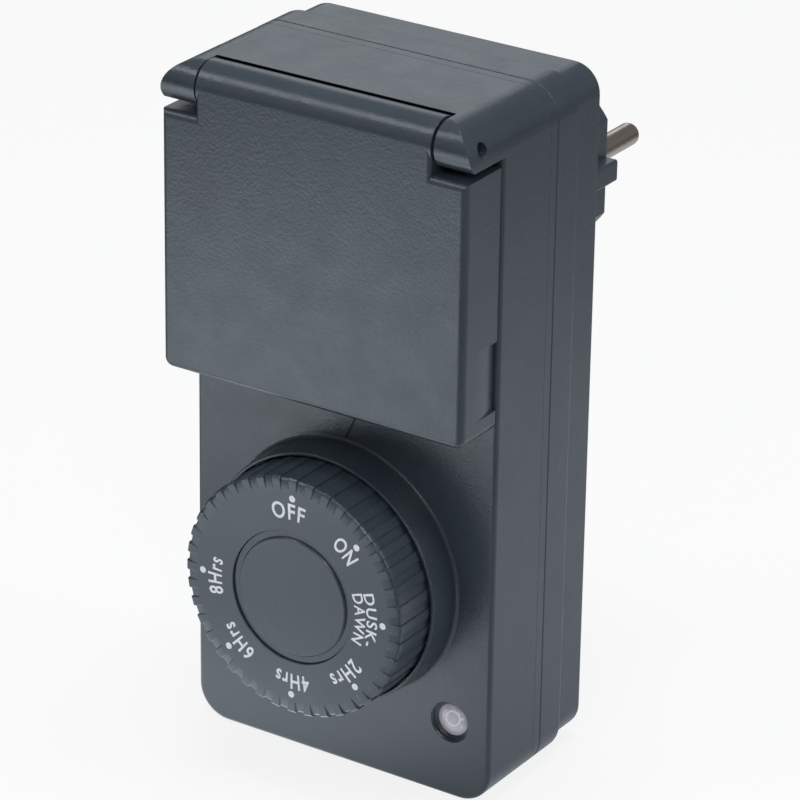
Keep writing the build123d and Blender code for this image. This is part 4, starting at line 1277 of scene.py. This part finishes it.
@dataclass(frozen=True)
class SoftBox:
    """A square lamp that faces the target, with its place measured from there in metres."""

    name: str
    place: tuple[float, float, float]
    side: float
    watts: float

    def build(self, target: Vector, colour: Colour) -> None:
        """Set the lamp up.

        Args:
            target: What it faces.
            colour: The colour of its light.
        """
        data = bpy.data.lights.new(self.name, "AREA")
        data.shape, data.size, data.energy = "SQUARE", self.side, self.watts
        data.color = colour
        lamp = new_object(self.name, data)
        place = Vector(self.place)
        lamp.location = target + place
        lamp.rotation_euler = place.to_track_quat("Z", "Y").to_euler()


@dataclass
class Studio:
    """Camera, lamps, a pale floor, and soft light from all round."""

    target: Vector = field(default_factory=lambda: Vector((12.898, -71.3, -26.008)) * MM)
    azimuth: float = 33.201
    elevation: float = 24.361
    roll: float = 0.896
    distance: float = 850.31 * MM
    lens: float = 199.93
    sensor_width: float = 36.0
    nearest: float = 0.01
    farthest: float = 50.0
    floor_side: float = 12.0
    floor_colour: Colour = srgb(236, 236, 236)
    floor_shade: float = 0.985
    floor_cloud: Noise = Noise(0.4, 3.0)
    floor_roughness: float = 0.8
    floor_whiteness: float = 0.85
    floor_dimness: float = 0.65
    pools: tuple[GlowPool, ...] = (
        GlowPool((-0.03, -0.095), 0.01, 0.08, 2.5),
        GlowPool((-0.135, -0.262), 0.02, 0.2, 3.1),
        GlowPool((0.09, 0.035), 0.02, 0.3, 0.62),
    )
    glow_colour: Colour = (0.84, 0.93, 1.0)
    lamps: tuple[SoftBox, ...] = (
        SoftBox("overhead", (0.0, 0.02, 1.0), 0.4, 5.9),
        SoftBox("front_left_card", (-0.5, -0.8, 0.3), 0.5, 0.2),
        SoftBox("back_left_card", (-0.4, 0.61, 0.33), 0.35, 0.34),
        SoftBox("high_left_card", (-0.5, -0.5, 0.7), 0.3, 1.4),
        SoftBox("high_front_card", (0.15, -0.6, 0.7), 0.25, 0.4),
        SoftBox("high_right_card", (0.45, -0.6, 0.6), 0.2, 1.3),
        SoftBox("right_card", (0.8, 0.3, 0.45), 0.35, 2.1),
    )
    lamp_colour: Colour = (0.94, 0.975, 1.0)
    fill: float = 0.2
    fill_colour: Colour = (0.92, 0.95, 1.0)

    def build_camera(self) -> None:
        """Set the camera up at the object's front right, a little above it."""
        azimuth, elevation, roll = (math.radians(a) for a in (self.azimuth, self.elevation, self.roll))
        level = math.cos(elevation)
        back = Vector((math.sin(azimuth) * level, -math.cos(azimuth) * level, math.sin(elevation)))
        right = (-back).cross(Vector((0, 0, 1))).normalized()
        up = right.cross(-back)
        across = right * math.cos(roll) + up * math.sin(roll)
        upward = up * math.cos(roll) - right * math.sin(roll)
        data = bpy.data.cameras.new("camera")
        data.lens, data.sensor_width = self.lens, self.sensor_width
        data.clip_start, data.clip_end = self.nearest, self.farthest
        camera = new_object("camera", data)
        turn = Matrix((across, upward, back)).transposed().to_4x4()
        camera.matrix_world = Matrix.Translation(self.target + back * self.distance) @ turn
        bpy.context.scene.camera = camera

    def build_floor(self) -> None:
        """Lay a pale floor under the object."""
        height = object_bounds()[0].z
        half = self.floor_side / 2
        corners = [(x, y, height) for x, y in ((-half, -half), (half, -half), (half, half), (-half, half))]
        shader = Shader("floor")
        cloud = shader.noise(self.floor_cloud)
        shade = tinted(self.floor_colour, self.floor_shade)
        shader.set_colour(cloud, NOISE_SPAN, shade, self.floor_colour)
        shader.set("Roughness", self.floor_roughness)
        self.light_floor(shader)
        floor = mesh_piece("floor", corners, [(0, 1, 2, 3)], shader.material)
        floor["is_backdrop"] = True

    def light_floor(self, shader: Shader) -> None:
        """Make the floor nearly white to the camera, and bright near the object in reflections.

        Args:
            shader: The floor's shader.
        """
        paths = shader.node("ShaderNodeLightPath")
        glossy, through = paths.outputs["Is Glossy Ray"], paths.outputs["Is Transmission Ray"]
        mirrored = shader.math("MAXIMUM", glossy, through)
        shine = self.pools[0].brightness(shader)
        for pool in self.pools[1:]:
            shine = shader.math("ADD", shine, pool.brightness(shader))
        glow = shader.light("ShaderNodeEmission", self.glow_colour, shader.math("MULTIPLY", mirrored, shine))
        dimness = shader.math("MULTIPLY", mirrored, self.floor_dimness)
        lit = shader.node("ShaderNodeAddShader")
        shader.feed(lit, 0, shader.blend(dimness, shader.surface.outputs["BSDF"]))
        shader.feed(lit, 1, glow)
        whiteness = shader.math("MULTIPLY", paths.outputs["Is Camera Ray"], self.floor_whiteness)
        white = shader.light("ShaderNodeEmission", WHITE)
        shader.feed(shader.output, "Surface", shader.blend(whiteness, lit.outputs["Shader"], white))

    def build_world(self) -> None:
        """Fill light from all round, and white where the camera looks past the floor."""
        world = bpy.data.worlds.new("studio")
        bpy.context.scene.world = world
        world.use_nodes = True
        sky = ShaderTree(world.node_tree)
        paths = sky.node("ShaderNodeLightPath")
        fill = sky.light("ShaderNodeBackground", self.fill_colour, self.fill)
        white = sky.light("ShaderNodeBackground", WHITE)
        seen = sky.blend(paths.outputs["Is Camera Ray"], fill, white)
        sky.feed(sky.node("ShaderNodeOutputWorld"), "Surface", seen)

    def build(self) -> None:
        """Build the whole studio."""
        self.build_camera()
        self.build_floor()
        self.build_world()
        for lamp in self.lamps:
            lamp.build(self.target, self.lamp_colour)
        bpy.context.scene.view_settings.view_transform = "Standard"


def main() -> None:
    """Build every sub-assembly in order and report its pieces."""
    logging.basicConfig(level=logging.INFO, format="%(name)s: %(message)s")
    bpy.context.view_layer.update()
    Studio().build()
    paint = Paintbox()
    assemblies: list[tuple[str, Callable[[], list[bpy.types.Object]]]] = [
        ("solid parts", SolidParts(paint).build),
        ("dial", Dial(paint).build),
        ("light sensor", LightSensor(paint).build),
        ("seam shade line", SeamShadeLine(paint).build),
    ]
    for name, build in assemblies:
        for piece in build():
            LOG.info("%s: %s, %d faces", name, piece.name, len(piece.data.polygons))
    bpy.context.view_layer.update()


if __name__ == "__main__":
    main()
